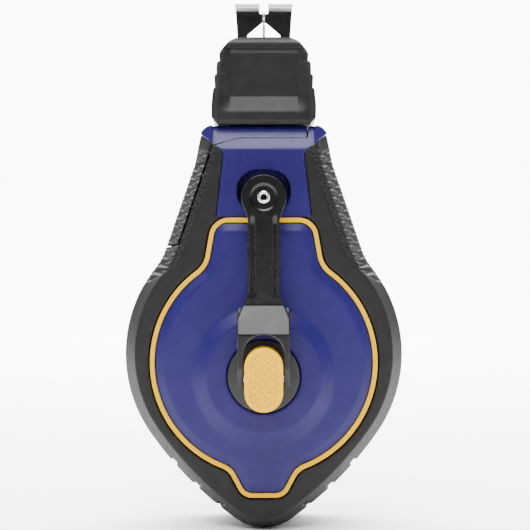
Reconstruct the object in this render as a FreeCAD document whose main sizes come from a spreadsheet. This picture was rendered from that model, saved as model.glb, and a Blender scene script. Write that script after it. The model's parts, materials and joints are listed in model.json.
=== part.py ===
import FreeCAD, Part
import math
import os
import Sketcher

# Chalk line reel. Millimetres. +Z runs along the neck towards the hook, -Y is the crank side.
# The origin is the centre of the flat back face on the spool's axis, and every depth below is
# measured forward from that back face, along -Y.

doc = FreeCAD.newDocument("chalk_line_reel")
sheet = doc.addObject("Spreadsheet::Sheet", "Sizes")

SIZES = {
    # housing outline
    "drum_radius": 56.5, "drum_centre": 8.6, "tip_height": -62.5, "tip_radius": 19.5,
    "jaw_radius": 145.0, "waist_radius": 26.0, "neck_lean": 19.0, "neck_mid_half": 28.2,
    "neck_mid_height": 86.0, "neck_top_half": 25.9, "neck_top": 101.3, "shoulder_radius": 5.6,
    "depth": 42.0, "parting": 21.0, "wall": 2.4, "skin": 2.4, "front_skin": 4.2,
    "facet_inset": 4.6, "facet_depth": 6.5, "skin_step": 0.6,
    # gear cover and its bead
    "panel_radius": 44.9, "panel_centre": 5.5, "panel_top": 62.8, "panel_top_half": 21.0,
    "panel_top_corner": 7.0, "panel_side_lean": 10.0, "panel_waist": 11.0, "tab_waist": 8.0,
    "tab_half": 9.4, "tab_lean": 28.0, "tab_corner": 5.4, "tab_bottom": -48.1,
    "bead_half": 0.95, "bead_fit": 0.02, "bead_gap": 0.6, "bead_height": 0.9, "panel_height": 1.6,
    "panel_edge": 0.3, "panel_bevel": 3.7, "boss_height": 4.0, "boss_foot": 28.7, "boss_crest": 23.1,
    "gear_window": 37.0, "cover_screw_circle": 40.4,
    # neck face and finger scoop
    "face_half_low": 19.3, "face_low": 64.2, "face_half_high": 16.3, "face_high": 90.0,
    "face_drop": 4.9, "scoop_half": 10.7, "scoop_low": 65.9, "scoop_high": 83.0,
    "scoop_corner": 8.0, "scoop_depth": 9.0, "scoop_wall": 1.8,
    # lid, nose and hook
    "lid_wall": 5.0, "lid_gap": 0.3, "mouth_lap": 0.1, "lid_right": 17.5, "lid_swing_gap": 0.6,
    "lid_bend_x": 10.0, "lid_bend_drop": 3.3, "lid_bend_half": 21.0, "lid_end": 53.0,
    "pin_inset": 3.1, "pin_drop": 2.5, "pin_radius": 1.0, "knuckle_radius": 1.9, "knuckle_half": 9.0,
    "cap_half": 21.4, "cap_gap": 0.6, "cap_height": 36.0, "cap_back": 3.5,
    "cap_wall": 4.6, "core_drop": 11.9, "channel_radius": 2.2,
    "thumb_half": 13.6, "thumb_foot": 11.7, "thumb_height": 19.4, "thumb_depth": 1.6,
    "hook_rise": 15.4, "hook_half_top": 12.0, "hook_half_low": 11.1, "hook_sheet": 1.4,
    "hook_lip": 2.0, "hook_lip_reach": 6.0, "hook_leg": 4.2, "hook_stand": 5.0,
    "window_rise": 3.3, "gable_rise": 5.8, "nail_half": 1.8,
    "nail_depth": 3.2, "hook_slot_gap": 0.35, "line_radius": 0.6,
    "nozzle_radius": 3.0, "seal_half": 9.8, "seal_depth": 13.0, "clip_loop": 2.6, "clip_wire": 0.5,
    # spool and axle
    "axle_radius": 3.0, "run_gap": 0.05, "spool_back": 6.3, "spool_flange": 2.0,
    "spool_gap": 0.7, "spool_radius": 42.0, "spool_hub": 12.0, "bush_radius": 4.6,
    "winding_radius": 34.0, "axle_over": 1.4, "washer_radius": 7.0,
    "clip_radius": 4.8, "clip_thick": 0.8, "clip_groove": 2.4,
    # gear train
    "gear_module": 1.0, "sun_teeth": 24.0, "planet_teeth": 12.0, "pressure": 25.0,
    "addendum": 0.8, "dedendum": 1.1, "tooth_thin": 0.14, "sun_gap": 0.6, "sun_bore": 9.0,
    "planet_length": 5.5, "planet_gap": 0.7, "ring_outer": 29.0, "ring_bore": 25.6,
    "carrier_radius": 25.0, "carrier_thick": 2.3, "cover_room": 3.1, "carrier_bore": 3.8, "planet_pin": 1.5,
    # clutch, hub and button
    "dog_radius": 8.0, "dog_reach": 1.7, "dog_plate": 1.9, "dog_tooth": 1.4, "dog_count": 6.0,
    "dog_play": 0.3, "stem_half": 2.2, "stem_gap": 0.15, "tube_radius": 6.4, "hub_bush_radius": 8.2,
    "hub_disc_radius": 14.4, "hub_recess_gap": 0.4, "recess_rise": 1.4, "disc_gap": 0.3,
    "disc_thick": 1.8, "block_over": 2.2, "spring_well": 6.7, "spring_bore": 4.6,
    "button_half_x": 7.55, "button_half_z": 12.6, "button_wall": 1.6, "button_stand": 3.5,
    "cap_clear": 0.3, "button_cap": 1.5, "button_gap": 0.3, "button_travel": 3.0,
    "spring_wire": 0.45, "spring_radius": 3.75, "spring_turns": 4.5,
    # crank
    "fold_height": 12.5, "hinge_pin": 1.5, "crank_radius": 71.3, "arm_end_radius": 8.85,
    "arm_half": 6.3, "arm_back": 12.2, "arm_front": 14.0, "ramp_foot": 29.0, "ramp_top": 17.5,
    "ramp_rise": 5.0, "fork_low": 7.0, "ear_gap": 0.4, "ear_thick": 2.3, "ear_low": -3.2,
    "ear_back": 9.6, "knob_radius": 9.0, "knob_back": 1.5, "knob_gap": 0.3, "rivet_radius": 1.9,
    "rivet_head": 2.45, "rivet_rise": 0.5, "rivet_foot": 4.2,
    # fasteners
    "screw_radius": 1.4, "screw_head": 2.7, "screw_head_height": 2.0, "screw_boss": 3.5,
    "screw_clear": 0.15, "neck_screw_x": 24.0, "neck_screw_z": 69.0, "side_screw_x": 33.5,
    "side_screw_z": 39.5, "tip_screw_z": -51.0,
}

# Sizes that follow from others, so that what fits together stays together.
DERIVED = {
    "ear_inner": "button_half_x + ear_gap",
    "ear_outer": "ear_inner + ear_thick",
    "hub_recess_floor": "depth + recess_rise",
    "hub_disc_back": "hub_recess_floor + disc_gap",
    "hub_disc_front": "hub_disc_back + disc_thick",
    "block_front": "depth + fold_height + block_over",
    "spring_seat": "block_front - spring_well",
    "button_back": "hub_disc_front + button_stand",
    "button_front": "block_front + button_travel + button_cap + cap_clear",
    "carrier_front": "depth - cover_room",
    "carrier_back": "carrier_front - carrier_thick",
    "sun_front": "carrier_back - sun_gap",
    "planet_front": "carrier_back - planet_gap",
    "planet_back": "planet_front - planet_length",
    "dog_back": "sun_front - dog_reach",
    "spool_front": "planet_back - spool_gap",
    "axle_front": "spool_front + axle_over",
    "cap_front": "depth - cap_back",
    "pin_x": "neck_top_half - pin_inset",
    "pin_z": "neck_top - pin_drop",
    "cap_low": "neck_top + cap_gap",
    "cap_top": "cap_low + cap_height",
    "core_top": "cap_top - core_drop",
    "hook_root": "core_top + hook_stand",
    "hook_top": "cap_top + hook_rise",
    "window_shoulder": "cap_top + window_rise",
    "window_apex": "window_shoulder + gable_rise",
    "thumb_low": "cap_low + thumb_foot",
    "thumb_high": "thumb_low + thumb_height",
    "face_top": "neck_top - face_drop",
}

for row, (name, value) in enumerate(SIZES.items(), start=1):
    sheet.set("A%d" % row, name)
    sheet.set("B%d" % row, str(value))
    sheet.setAlias("B%d" % row, name)
doc.recompute()

EPS = 1e-6


def size(expression):
    """The value of an expression in the sheet's sizes."""
    return float(eval_expression(bound(expression)))


def eval_expression(expression):
    value = sheet.evalExpression(expression)
    return getattr(value, "Value", value)


def bound(expression):
    """Puts the sheet's name before each of its aliases, and a derived size's own expression in its place."""
    text = ""
    word = ""
    for letter in str(expression) + " ":
        if letter.isalnum() or letter == "_":
            word += letter
            continue
        if word in DERIVED:
            text += "(" + bound(DERIVED[word]) + ")"
        else:
            text += "Sizes." + word if word in SIZES else word
        text += letter
        word = ""
    return text.strip()


def bind(thing, field, expression):
    thing.setExpression(field, bound(expression))


# ---------------------------------------------------------------- sketches


def origin_plane(body, role):
    for feature in body.Origin.OriginFeatures:
        if feature.Role == role:
            return feature
    raise ValueError(role)


def new_body(label):
    body = doc.addObject("PartDesign::Body", label)
    body.Label = label
    return body


def new_sketch(body, depth="0", role="XZ_Plane"):
    """A sketch on one of the body's planes. On XZ it faces forward, at a depth from the back."""
    sketch = body.newObject("Sketcher::SketchObject", body.Name + "_sketch")
    sketch.AttachmentSupport = (origin_plane(body, role), [""])
    sketch.MapMode = "FlatFace"
    bind(sketch, "AttachmentOffset.Base.z", depth)
    return sketch


def pin_point(sketch, geometry, position, x_text, y_text):
    """Holds a point of the sketch at two distances from the sketch's origin."""
    for kind, axis, text in (("DistanceX", -2, x_text), ("DistanceY", -1, y_text)):
        if abs(size(text)) < EPS:
            sketch.addConstraint(Sketcher.Constraint("PointOnObject", geometry, position, axis))
            continue
        name = "c%d" % sketch.ConstraintCount
        rule = Sketcher.Constraint(kind, -1, 1, geometry, position, size(text))
        index = sketch.addConstraint(rule)
        sketch.renameConstraint(index, name)
        bind(sketch, "Constraints." + name, text)


def hold_radius(sketch, geometry, text):
    name = "r%d" % sketch.ConstraintCount
    index = sketch.addConstraint(Sketcher.Constraint("Radius", geometry, size(text)))
    sketch.renameConstraint(index, name)
    bind(sketch, "Constraints." + name, text)


def add_polygon(sketch, points):
    """A closed polygon whose corners are each held by two expressions."""
    corners = [FreeCAD.Vector(size(x), size(y), 0) for x, y in points]
    count = len(corners)
    first = sketch.GeometryCount
    for i in range(count):
        sketch.addGeometry(Part.LineSegment(corners[i], corners[(i + 1) % count]), False)
    for i in range(count):
        before = first + (i - 1) % count
        sketch.addConstraint(Sketcher.Constraint("Coincident", before, 2, first + i, 1))
        pin_point(sketch, first + i, 1, *points[i])


def add_rectangle(sketch, left, low, right, high):
    add_polygon(sketch, [(left, low), (right, low), (right, high), (left, high)])


def add_circle(sketch, x_text, y_text, radius):
    centre = FreeCAD.Vector(size(x_text), size(y_text), 0)
    circle = Part.Circle(centre, FreeCAD.Vector(0, 0, 1), size(radius))
    index = sketch.addGeometry(circle, False)
    pin_point(sketch, index, 3, x_text, y_text)
    hold_radius(sketch, index, radius)


def add_slot(sketch, half_x, half_z):
    """An upright slot shape about the sketch's origin, with round ends of radius half_x."""
    radius = size(half_x)
    reach = size("(%s) - (%s)" % (half_z, half_x))
    centre = FreeCAD.Vector(0, reach, 0)
    up = FreeCAD.Vector(0, 0, 1)
    top = Part.ArcOfCircle(Part.Circle(centre, up, radius), 0, math.pi)
    low = Part.ArcOfCircle(Part.Circle(centre * -1, up, radius), math.pi, 2 * math.pi)
    first = sketch.GeometryCount
    sketch.addGeometry(top, False)
    sketch.addGeometry(Part.LineSegment(top.EndPoint, low.StartPoint), False)
    sketch.addGeometry(low, False)
    sketch.addGeometry(Part.LineSegment(low.EndPoint, top.StartPoint), False)
    for i, (position, following) in enumerate(((2, 1), (2, 1), (2, 1), (2, 1))):
        after = first + (i + 1) % 4
        sketch.addConstraint(Sketcher.Constraint("Tangent", first + i, position, after, following))
    pin_point(sketch, first, 3, "0", "(%s) - (%s)" % (half_z, half_x))
    sketch.addConstraint(Sketcher.Constraint("Equal", first, first + 2))
    sketch.addConstraint(Sketcher.Constraint("Symmetric", first, 3, first + 2, 3, -1, 1))
    hold_radius(sketch, first, half_x)


# ---------------------------------------------------------------- features


def pad(body, length, draw, depth="0", role="XZ_Plane", midplane=False):
    sketch = new_sketch(body, depth, role)
    draw(sketch)
    feature = body.newObject("PartDesign::Pad", body.Name + "_pad")
    feature.Profile = sketch
    bind(feature, "Length", length)
    feature.Midplane = midplane
    doc.recompute()
    return feature


def pocket(body, length, draw, depth="0", role="XZ_Plane", midplane=False):
    """Cuts from the sketch's plane back into the solid, and checks that it cut something."""
    before = body.Shape.Volume
    sketch = new_sketch(body, depth, role)
    draw(sketch)
    feature = body.newObject("PartDesign::Pocket", body.Name + "_pocket")
    feature.Profile = sketch
    bind(feature, "Length", length)
    feature.Midplane = midplane
    doc.recompute()
    if body.Shape.Volume > before - 0.01:
        raise ValueError("a pocket of %s cuts nothing" % body.Label)
    return feature


def revolve(label, profile, body=None):
    """A ring or disc about the reel's axis, from corners given as (radius, depth)."""
    body = body or new_body(label)
    sketch = new_sketch(body, "0", "XY_Plane")
    add_polygon(sketch, [(radius, "-(%s)" % depth) for radius, depth in profile])
    feature = body.newObject("PartDesign::Revolution", body.Name + "_turn")
    feature.Profile = sketch
    feature.ReferenceAxis = (sketch, ["V_Axis"])
    feature.Angle = 360
    doc.recompute()
    return body


def ring(label, inner, outer, back, front):
    return revolve(label, [(inner, back), (outer, back), (outer, front), (inner, front)])


def polar(body, feature, count):
    """Repeats a feature of the body about the reel's axis."""
    pattern = body.newObject("PartDesign::PolarPattern", body.Name + "_round")
    pattern.Originals = [feature]
    pattern.Axis = (origin_axis(body, "Y_Axis"), [""])
    pattern.Angle = 360
    bind(pattern, "Occurrences", count)
    body.Tip = pattern
    doc.recompute()
    return pattern


def origin_axis(body, role):
    for feature in body.Origin.OriginFeatures:
        if feature.Role == role:
            return feature
    raise ValueError(role)


def round_edges(body, radius, wanted):
    """Fillets those edges of the body's tip for which wanted(edge) holds."""
    tip = body.Tip
    names = ["Edge%d" % i for i, edge in enumerate(tip.Shape.Edges, start=1) if wanted(edge)]
    if not names:
        raise ValueError("no edge of %s to round" % body.Label)
    feature = body.newObject("PartDesign::Fillet", body.Name + "_round")
    feature.Base = (tip, names)
    bind(feature, "Radius", radius)
    doc.recompute()
    return feature


def along(direction):
    """Picks straight edges that run along an axis."""

    def wanted(edge):
        if not isinstance(edge.Curve, Part.Line):
            return False
        return abs(edge.Curve.Direction.dot(direction)) > 1 - EPS

    return wanted


# ---------------------------------------------------------------- outlines as sketches


def arc_middle(centre, start, end, radius, far=False):
    """The middle point of the shorter arc between two points about a centre, or the longer."""
    toward = (start + end) * 0.5 - centre
    toward.normalize()
    return centre + toward * (-radius if far else radius)


def blend_line_circle(point, direction, side, blend, hub, radius):
    """Centre of the arc outside a circle that is tangent to it and to a line. side is the unit
    vector from the line to the arc's centre."""
    start = point + side * blend
    reach = start - hub
    along_line = reach.dot(direction)
    rest = reach.dot(reach) - (radius + blend) ** 2
    step = -along_line - math.sqrt(along_line ** 2 - rest)
    return start + direction * step


class Outline:
    """One side of a symmetric outline, drawn as a chain from the top middle to the bottom."""

    def __init__(self, name):
        self.sketch = doc.addObject("Sketcher::SketchObject", name)
        self.sketch.Placement = FreeCAD.Placement(
            FreeCAD.Vector(0, 0, 0), FreeCAD.Rotation(FreeCAD.Vector(1, 0, 0), 90)
        )
        self.right = []

    def line(self, start, end, smooth=True):
        self.right.append({"curve": Part.LineSegment(start, end), "ends": (start, end), "smooth": smooth})

    def arc(self, start, middle, end, radius, smooth=True):
        curve = Part.Arc(start, middle, end)
        self.right.append(
            {"curve": curve, "ends": (start, end), "radius": radius, "middle": middle, "smooth": smooth}
        )

    def close(self):
        """Adds the chain, its mirror image on the left, and the rules that tie them."""
        sketch = self.sketch
        last = len(self.right) - 1
        tags = []
        for piece in self.right:
            index = sketch.addGeometry(piece["curve"], False)
            tags.append(self.tag(index, piece["ends"][0]))
        mirrored = []
        for piece in self.right[1:last]:
            start, end = (FreeCAD.Vector(-p.x, p.y, 0) for p in piece["ends"])
            if "radius" in piece:
                middle = FreeCAD.Vector(-piece["middle"].x, piece["middle"].y, 0)
                index = sketch.addGeometry(Part.Arc(start, middle, end), False)
            else:
                index = sketch.addGeometry(Part.LineSegment(start, end), False)
            mirrored.append(self.tag(index, start))
        for i in range(last):
            one, two = tags[i], tags[i + 1]
            kind = "Tangent" if self.right[i]["smooth"] else "Coincident"
            sketch.addConstraint(Sketcher.Constraint(kind, one[0], one[2], two[0], two[1]))
        chain = [(tags[0][0], tags[0][2], tags[0][1])] + mirrored + [(tags[last][0], tags[last][2], 0)]
        for one, two in zip(chain, chain[1:]):
            sketch.addConstraint(Sketcher.Constraint("Coincident", one[0], one[2], two[0], two[1]))
        sketch.addConstraint(
            Sketcher.Constraint("Symmetric", tags[0][0], 1, tags[0][0], 2, -2)
        )
        sketch.addConstraint(
            Sketcher.Constraint("Symmetric", tags[last][0], 1, tags[last][0], 2, -2)
        )
        for one, two in zip(tags[1:last - 1], mirrored):
            sketch.addConstraint(Sketcher.Constraint("Symmetric", one[0], one[2], two[0], two[2], -2))
        for tag, piece, twin in zip(tags[1:last], self.right[1:last], mirrored):
            if "radius" in piece:
                sketch.addConstraint(Sketcher.Constraint("Equal", tag[0], twin[0]))
        for tag, piece in zip(tags, self.right):
            if "radius" in piece:
                hold_radius(sketch, tag[0], piece["radius"])
        return tags

    def tag(self, index, start):
        """A curve's number, then which of its ends comes first on the chain and which last."""
        near = (self.sketch.getPoint(index, 1) - start).Length < 1e-4
        return (index, 1, 2) if near else (index, 2, 1)


def point(x, z):
    return FreeCAD.Vector(x, z, 0)


def unit(angle):
    return point(math.cos(math.radians(angle)), math.sin(math.radians(angle)))


def hold_angle(sketch, geometry, text):
    name = "a%d" % sketch.ConstraintCount
    rule = Sketcher.Constraint("Angle", geometry, math.radians(size(text)))
    index = sketch.addConstraint(rule)
    sketch.renameConstraint(index, name)
    bind(sketch, "Constraints." + name, "(%s) * 1 deg" % text)


def hold_line(sketch, geometry, position, kind, text):
    """Holds one coordinate of a point."""
    name = "h%d" % sketch.ConstraintCount
    rule = Sketcher.Constraint(kind, -1, 1, geometry, position, size(text))
    index = sketch.addConstraint(rule)
    sketch.renameConstraint(index, name)
    bind(sketch, "Constraints." + name, text)


def housing_outline():
    """Round drum, a jaw that narrows to a blunt tip, and a neck that leans in to its shoulders."""
    drum = point(0, size("drum_centre"))
    drum_radius = size("drum_radius")
    bend = point(size("neck_mid_half"), size("neck_mid_height"))
    down = unit(size("neck_lean - 90"))
    outward = unit(size("neck_lean"))
    waist = blend_line_circle(bend, down, outward, size("waist_radius"), drum, drum_radius)
    neck_foot = waist - outward * size("waist_radius")
    drum_start = drum + (waist - drum).normalize() * drum_radius

    tip = point(0, size("tip_height + tip_radius"))
    jaw_radius = size("jaw_radius")
    near = jaw_radius - drum_radius
    far = jaw_radius - size("tip_radius")
    apart = (drum - tip).Length
    rise = (apart ** 2 + far ** 2 - near ** 2) / (2 * apart)
    jaw = tip + point(-math.sqrt(far ** 2 - rise ** 2), rise)
    drum_end = jaw + (drum - jaw).normalize() * jaw_radius
    jaw_end = jaw + (tip - jaw).normalize() * jaw_radius

    shoulder = size("shoulder_radius")
    top = size("neck_top")
    side_x = size("neck_top_half")
    # the shoulder's arc ends where the upper side begins, on a line through the neck's bend
    centre = point(0, top - shoulder)
    low, high = side_x - shoulder, side_x
    for _ in range(60):
        centre.x = (low + high) / 2
        reach = bend - centre
        swing = math.acos(shoulder / reach.Length)
        aim = math.atan2(reach.y, reach.x) + swing
        touch = centre + point(math.cos(aim), math.sin(aim)) * shoulder
        if touch.x > side_x:
            high = centre.x
        else:
            low = centre.x
    shoulder_start = point(centre.x, top)

    outline = Outline("housing_outline")
    outline.line(point(-centre.x, top), shoulder_start)
    outline.arc(shoulder_start, arc_middle(centre, shoulder_start, touch, shoulder), touch, "shoulder_radius")
    outline.line(touch, bend, smooth=False)
    outline.line(bend, neck_foot)
    outline.arc(
        neck_foot, arc_middle(waist, neck_foot, drum_start, size("waist_radius")), drum_start, "waist_radius"
    )
    outline.arc(drum_start, drum + point(drum_radius, 0), drum_end, "drum_radius")
    outline.arc(drum_end, arc_middle(jaw, drum_end, jaw_end, jaw_radius), jaw_end, "jaw_radius")
    outline.arc(jaw_end, point(0, size("tip_height")), point(-jaw_end.x, jaw_end.y), "tip_radius")
    tags = outline.close()
    sketch = outline.sketch
    hold_line(sketch, tags[0][0], 2, "DistanceY", "neck_top")
    hold_line(sketch, tags[2][0], tags[2][1], "DistanceX", "neck_top_half")
    pin_point(sketch, tags[2][0], tags[2][2], "neck_mid_half", "neck_mid_height")
    hold_angle(sketch, tags[3][0], "neck_lean - 90")
    pin_point(sketch, tags[5][0], 3, "0", "drum_centre")
    hold_line(sketch, tags[7][0], 3, "DistanceY", "tip_height + tip_radius")
    return sketch


def panel_outline():
    """The middle line of the bead round the gear cover: a disc with a tall head and a low tab."""
    hub = point(0, size("panel_centre"))
    radius = size("panel_radius")
    top = size("panel_top")
    corner = size("panel_top_corner")
    half = size("panel_top_half")
    lean = size("panel_side_lean")
    outward, down = unit(lean), unit(lean - 90)
    # the head's side starts at the end of the corner's arc
    corner_centre = point(half, top - corner) - outward * corner
    corner_centre.y = top - corner
    side_start = corner_centre + outward * corner
    waist = blend_line_circle(side_start, down, outward, size("panel_waist"), hub, radius)
    side_end = waist - outward * size("panel_waist")
    disc_start = hub + (waist - hub).normalize() * radius

    tab_lean = size("tab_lean")
    tab_outward, tab_down = unit(-tab_lean), unit(-90 - tab_lean)
    tab_corner = size("tab_corner")
    tab_centre = point(0, size("tab_bottom") + tab_corner)
    tab_end = point(size("tab_half"), 0)
    tab_centre.x = tab_end.x - tab_corner * tab_outward.x
    tab_end = tab_centre + tab_outward * tab_corner
    tab_waist = blend_line_circle(tab_end, tab_down * -1, tab_outward, size("tab_waist"), hub, radius)
    tab_start = tab_waist - tab_outward * size("tab_waist")
    disc_end = hub + (tab_waist - hub).normalize() * radius
    bottom = point(tab_centre.x, size("tab_bottom"))

    outline = Outline("panel_outline")
    outline.line(point(-corner_centre.x, top), point(corner_centre.x, top))
    start = point(corner_centre.x, top)
    outline.arc(start, arc_middle(corner_centre, start, side_start, corner), side_start, "panel_top_corner")
    outline.line(side_start, side_end)
    middle = arc_middle(waist, side_end, disc_start, size("panel_waist"))
    outline.arc(side_end, middle, disc_start, "panel_waist")
    outline.arc(disc_start, hub + point(radius, 0), disc_end, "panel_radius")
    middle = arc_middle(tab_waist, disc_end, tab_start, size("tab_waist"))
    outline.arc(disc_end, middle, tab_start, "tab_waist")
    outline.line(tab_start, tab_end)
    outline.arc(tab_end, arc_middle(tab_centre, tab_end, bottom, tab_corner), bottom, "tab_corner")
    outline.line(bottom, point(-bottom.x, bottom.y))
    tags = outline.close()
    sketch = outline.sketch
    hold_line(sketch, tags[0][0], 2, "DistanceY", "panel_top")
    hold_line(sketch, tags[2][0], tags[2][1], "DistanceX", "panel_top_half")
    hold_angle(sketch, tags[2][0], "panel_side_lean - 90")
    pin_point(sketch, tags[4][0], 3, "0", "panel_centre")
    hold_line(sketch, tags[6][0], tags[6][2], "DistanceX", "tab_half")
    hold_angle(sketch, tags[6][0], "-90 - tab_lean")
    hold_line(sketch, tags[8][0], tags[8][1], "DistanceY", "tab_bottom")
    return sketch


def offset(outline, name, distance):
    feature = doc.addObject("Part::Offset2D", name)
    feature.Source = outline
    feature.Join = 0
    bind(feature, "Value", distance)
    doc.recompute()
    return feature


def prism(name, profile, back, front):
    """A profile carried straight forward from one depth to another."""
    feature = doc.addObject("Part::Extrusion", name)
    feature.Base = profile
    feature.DirMode = "Custom"
    feature.Dir = FreeCAD.Vector(0, -1, 0)
    feature.Solid = True
    bind(feature, "LengthFwd", "(%s) - (%s)" % (front, back))
    bind(feature, "Placement.Base.y", "-(%s)" % back)
    doc.recompute()
    return feature


def moved(name, profile, depth):
    """A copy of a profile at a depth."""
    feature = doc.addObject("Part::Offset2D", name)
    feature.Source = profile
    feature.Value = 0.001
    bind(feature, "Placement.Base.y", "-(%s)" % depth)
    doc.recompute()
    return feature


def sloped(name, profile, back, foot, inset, front):
    """A profile carried forward, then sloped inward to a smaller front."""
    crest = offset(profile, name + "_crest", "-(%s)" % inset)
    bind(crest, "Placement.Base.y", "-(%s)" % front)
    feature = doc.addObject("Part::Loft", name)
    feature.Sections = [moved(name + "_back", profile, back), moved(name + "_foot", profile, foot), crest]
    feature.Solid = True
    feature.Ruled = True
    doc.recompute()
    return feature


def cut(name, base, tool):
    feature = doc.addObject("Part::Cut", name)
    feature.Label = name
    feature.Base = base
    feature.Tool = tool
    doc.recompute()
    return feature


def common(name, base, tool):
    feature = doc.addObject("Part::Common", name)
    feature.Label = name
    feature.Base = base
    feature.Tool = tool
    doc.recompute()
    return feature


def fuse(name, *parts):
    feature = doc.addObject("Part::MultiFuse", name)
    feature.Label = name
    feature.Shapes = list(parts)
    feature.Refine = True
    doc.recompute()
    return feature


# ---------------------------------------------------------------- housing

FORWARD = FreeCAD.Vector(0, 1, 0)
nodes = []


def keep(thing):
    """Lists a sub-part for writing."""
    nodes.append(thing)
    return thing


outline = housing_outline()
panel = panel_outline()
doc.recompute()
core = offset(outline, "core_outline", "-skin")
cavity = offset(outline, "cavity_outline", "-(skin + wall)")

COVER_FLOOR = "carrier_front + 0.5"
FAR_X = "drum_radius + 10"
FAR_Z = "neck_top + 10"
LID_LOW = "neck_top - skin - wall - mouth_lap"
CROWN_Z = "face_high + 1.3 * (face_top - face_high) + 3"
LID_FLANK = "neck_mid_half + (neck_mid_height - lid_end) * tan(neck_lean * 1 deg) - lid_wall"


def cutter(name, back, front, draw):
    """A helper solid between two depths."""
    body = new_body(name)
    pad(body, "(%s) - (%s)" % (front, back), draw, back)
    return body


def draw_crown(sketch):
    add_polygon(sketch, [
        ("-face_half_high", "face_high"), ("face_half_high", "face_high"),
        ("neck_top_half + 4", CROWN_Z), ("neck_top_half + 4", FAR_Z),
        ("-neck_top_half - 4", FAR_Z), ("-neck_top_half - 4", CROWN_Z),
    ])


def draw_face(sketch):
    add_polygon(sketch, [
        ("-face_half_low", "face_low"), ("face_half_low", "face_low"),
        ("face_half_high", "face_high"), ("neck_top_half + 4", CROWN_Z),
        ("neck_top_half + 4", FAR_Z), ("-neck_top_half - 4", FAR_Z),
        ("-neck_top_half - 4", CROWN_Z), ("-face_half_high", "face_high"),
    ])


def lid_region(gap, right_gap):
    """The lid's share of the neck: its top and its left flank, grown by a gap."""

    def draw(sketch):
        low = "%s - %s" % (LID_LOW, gap)
        add_polygon(sketch, [
            ("lid_right + %s" % right_gap, FAR_Z), ("lid_right + %s" % right_gap, low),
            ("-lid_bend_x", low),
            ("-(lid_bend_half - %s)" % gap, "%s - lid_bend_drop" % low),
            ("-(neck_mid_half - lid_wall - %s)" % gap, "neck_mid_height"),
            ("-(%s - %s)" % (LID_FLANK, gap), "lid_end - %s" % gap),
            ("-(%s)" % FAR_X, "lid_end - 4 - %s" % gap), ("-(%s)" % FAR_X, FAR_Z),
        ])

    return draw


def draw_slot_space(sketch):
    add_rectangle(sketch, "lid_right - 1", "pin_z - 3.8", "neck_top_half + 4", FAR_Z)


crown = cutter("crown", "-1", "depth + 1", draw_crown)
face = cutter("face", "depth - front_skin", "depth", draw_face)
lid_space = cutter("lid_space", "-1", "depth + 1", lid_region("lid_gap", "lid_swing_gap"))
lid_body = cutter("lid_region", "-1", "depth + 1", lid_region("0", "0"))
knuckle_space = cutter(
    "knuckle_space", "parting - knuckle_half - lid_gap", "parting + knuckle_half + lid_gap", draw_slot_space
)

SCREW_SPOTS = (
    ("neck_screw_x", "neck_screw_z"), ("-neck_screw_x", "neck_screw_z"),
    ("side_screw_x", "side_screw_z"), ("-side_screw_x", "side_screw_z"), ("0", "tip_screw_z"),
)


def screw_circles(radius):
    def draw(sketch):
        for x, z in SCREW_SPOTS:
            add_circle(sketch, x, z, radius)

    return draw


def pin_bore(name, radius, back, front):
    """A round bar on the lid's hinge line."""
    return cutter(name, back, front, lambda sketch: add_circle(sketch, "pin_x", "pin_z", radius))


def housing_half(name, back, front, hollow_back, hollow_front, extra=()):
    """A half of the shell: its skinned outline, full size at the crown, hollow inside."""
    body = prism(name + "_core", core, back, front)
    full = prism(name + "_full", outline, back, front)
    top = common(name + "_crown", full, crown)
    solid = fuse(name + "_solid", body, top, *extra)
    hollow = prism(name + "_hollow", cavity, hollow_back, hollow_front)
    return cut(name + "_shelled", solid, hollow)


def rear_shell():
    shelled = housing_half("rear", "0", "parting", "wall", "parting + 1")
    bosses = cutter("rear_bosses", "wall - 0.5", "parting", screw_circles("screw_boss"))
    seat = cutter("axle_seat", "wall - 0.5", "spool_back - 0.8",
                  lambda sketch: add_circle(sketch, "0", "0", "washer_radius"))
    solid = fuse("rear_with_bosses", shelled, bosses, seat)
    holes = cutter("rear_holes", "-1", "parting + 1", screw_circles("screw_radius + screw_clear"))
    heads = cutter("rear_head_wells", "-1", "screw_head_height + 1", screw_circles("screw_head + 0.3"))
    axle = cutter("axle_hole", "wall - 0.9", "spool_back",
                  lambda sketch: add_circle(sketch, "0", "0", "axle_radius"))
    hinge = pin_bore("rear_pin_hole", "pin_radius", "4", "parting + 1")
    tool = fuse("rear_tools", holes, heads, axle, hinge, lid_space, knuckle_space)
    return cut("rear_shell", solid, tool)


def scoop_cup():
    """The finger scoop's cup, closed at the back."""
    body = new_body("scoop_cup")
    outer = "scoop_wall"
    pad(body, "scoop_depth + scoop_wall - 0.2", lambda sketch: add_rectangle(
        sketch, "-(scoop_half + %s)" % outer, "scoop_low - %s" % outer,
        "scoop_half + %s" % outer, "scoop_high + %s" % outer), "depth - scoop_depth - scoop_wall")
    return body


def scoop_tool():
    body = new_body("scoop_tool")
    pad(body, "scoop_depth + 1", lambda sketch: add_rectangle(
        sketch, "-scoop_half", "scoop_low", "scoop_half", "scoop_high"), "depth - scoop_depth")
    round_edges(body, "scoop_corner", along(FORWARD))
    return body


def cover_circles(radius):
    """Three screws on a circle about the reel's axis."""

    def draw(sketch):
        add_circle(sketch, "0", "-cover_screw_circle", radius)
        add_circle(sketch, "cover_screw_circle * cos(30 deg)", "cover_screw_circle * 0.5", radius)
        add_circle(sketch, "-cover_screw_circle * cos(30 deg)", "cover_screw_circle * 0.5", radius)

    return draw


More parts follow.
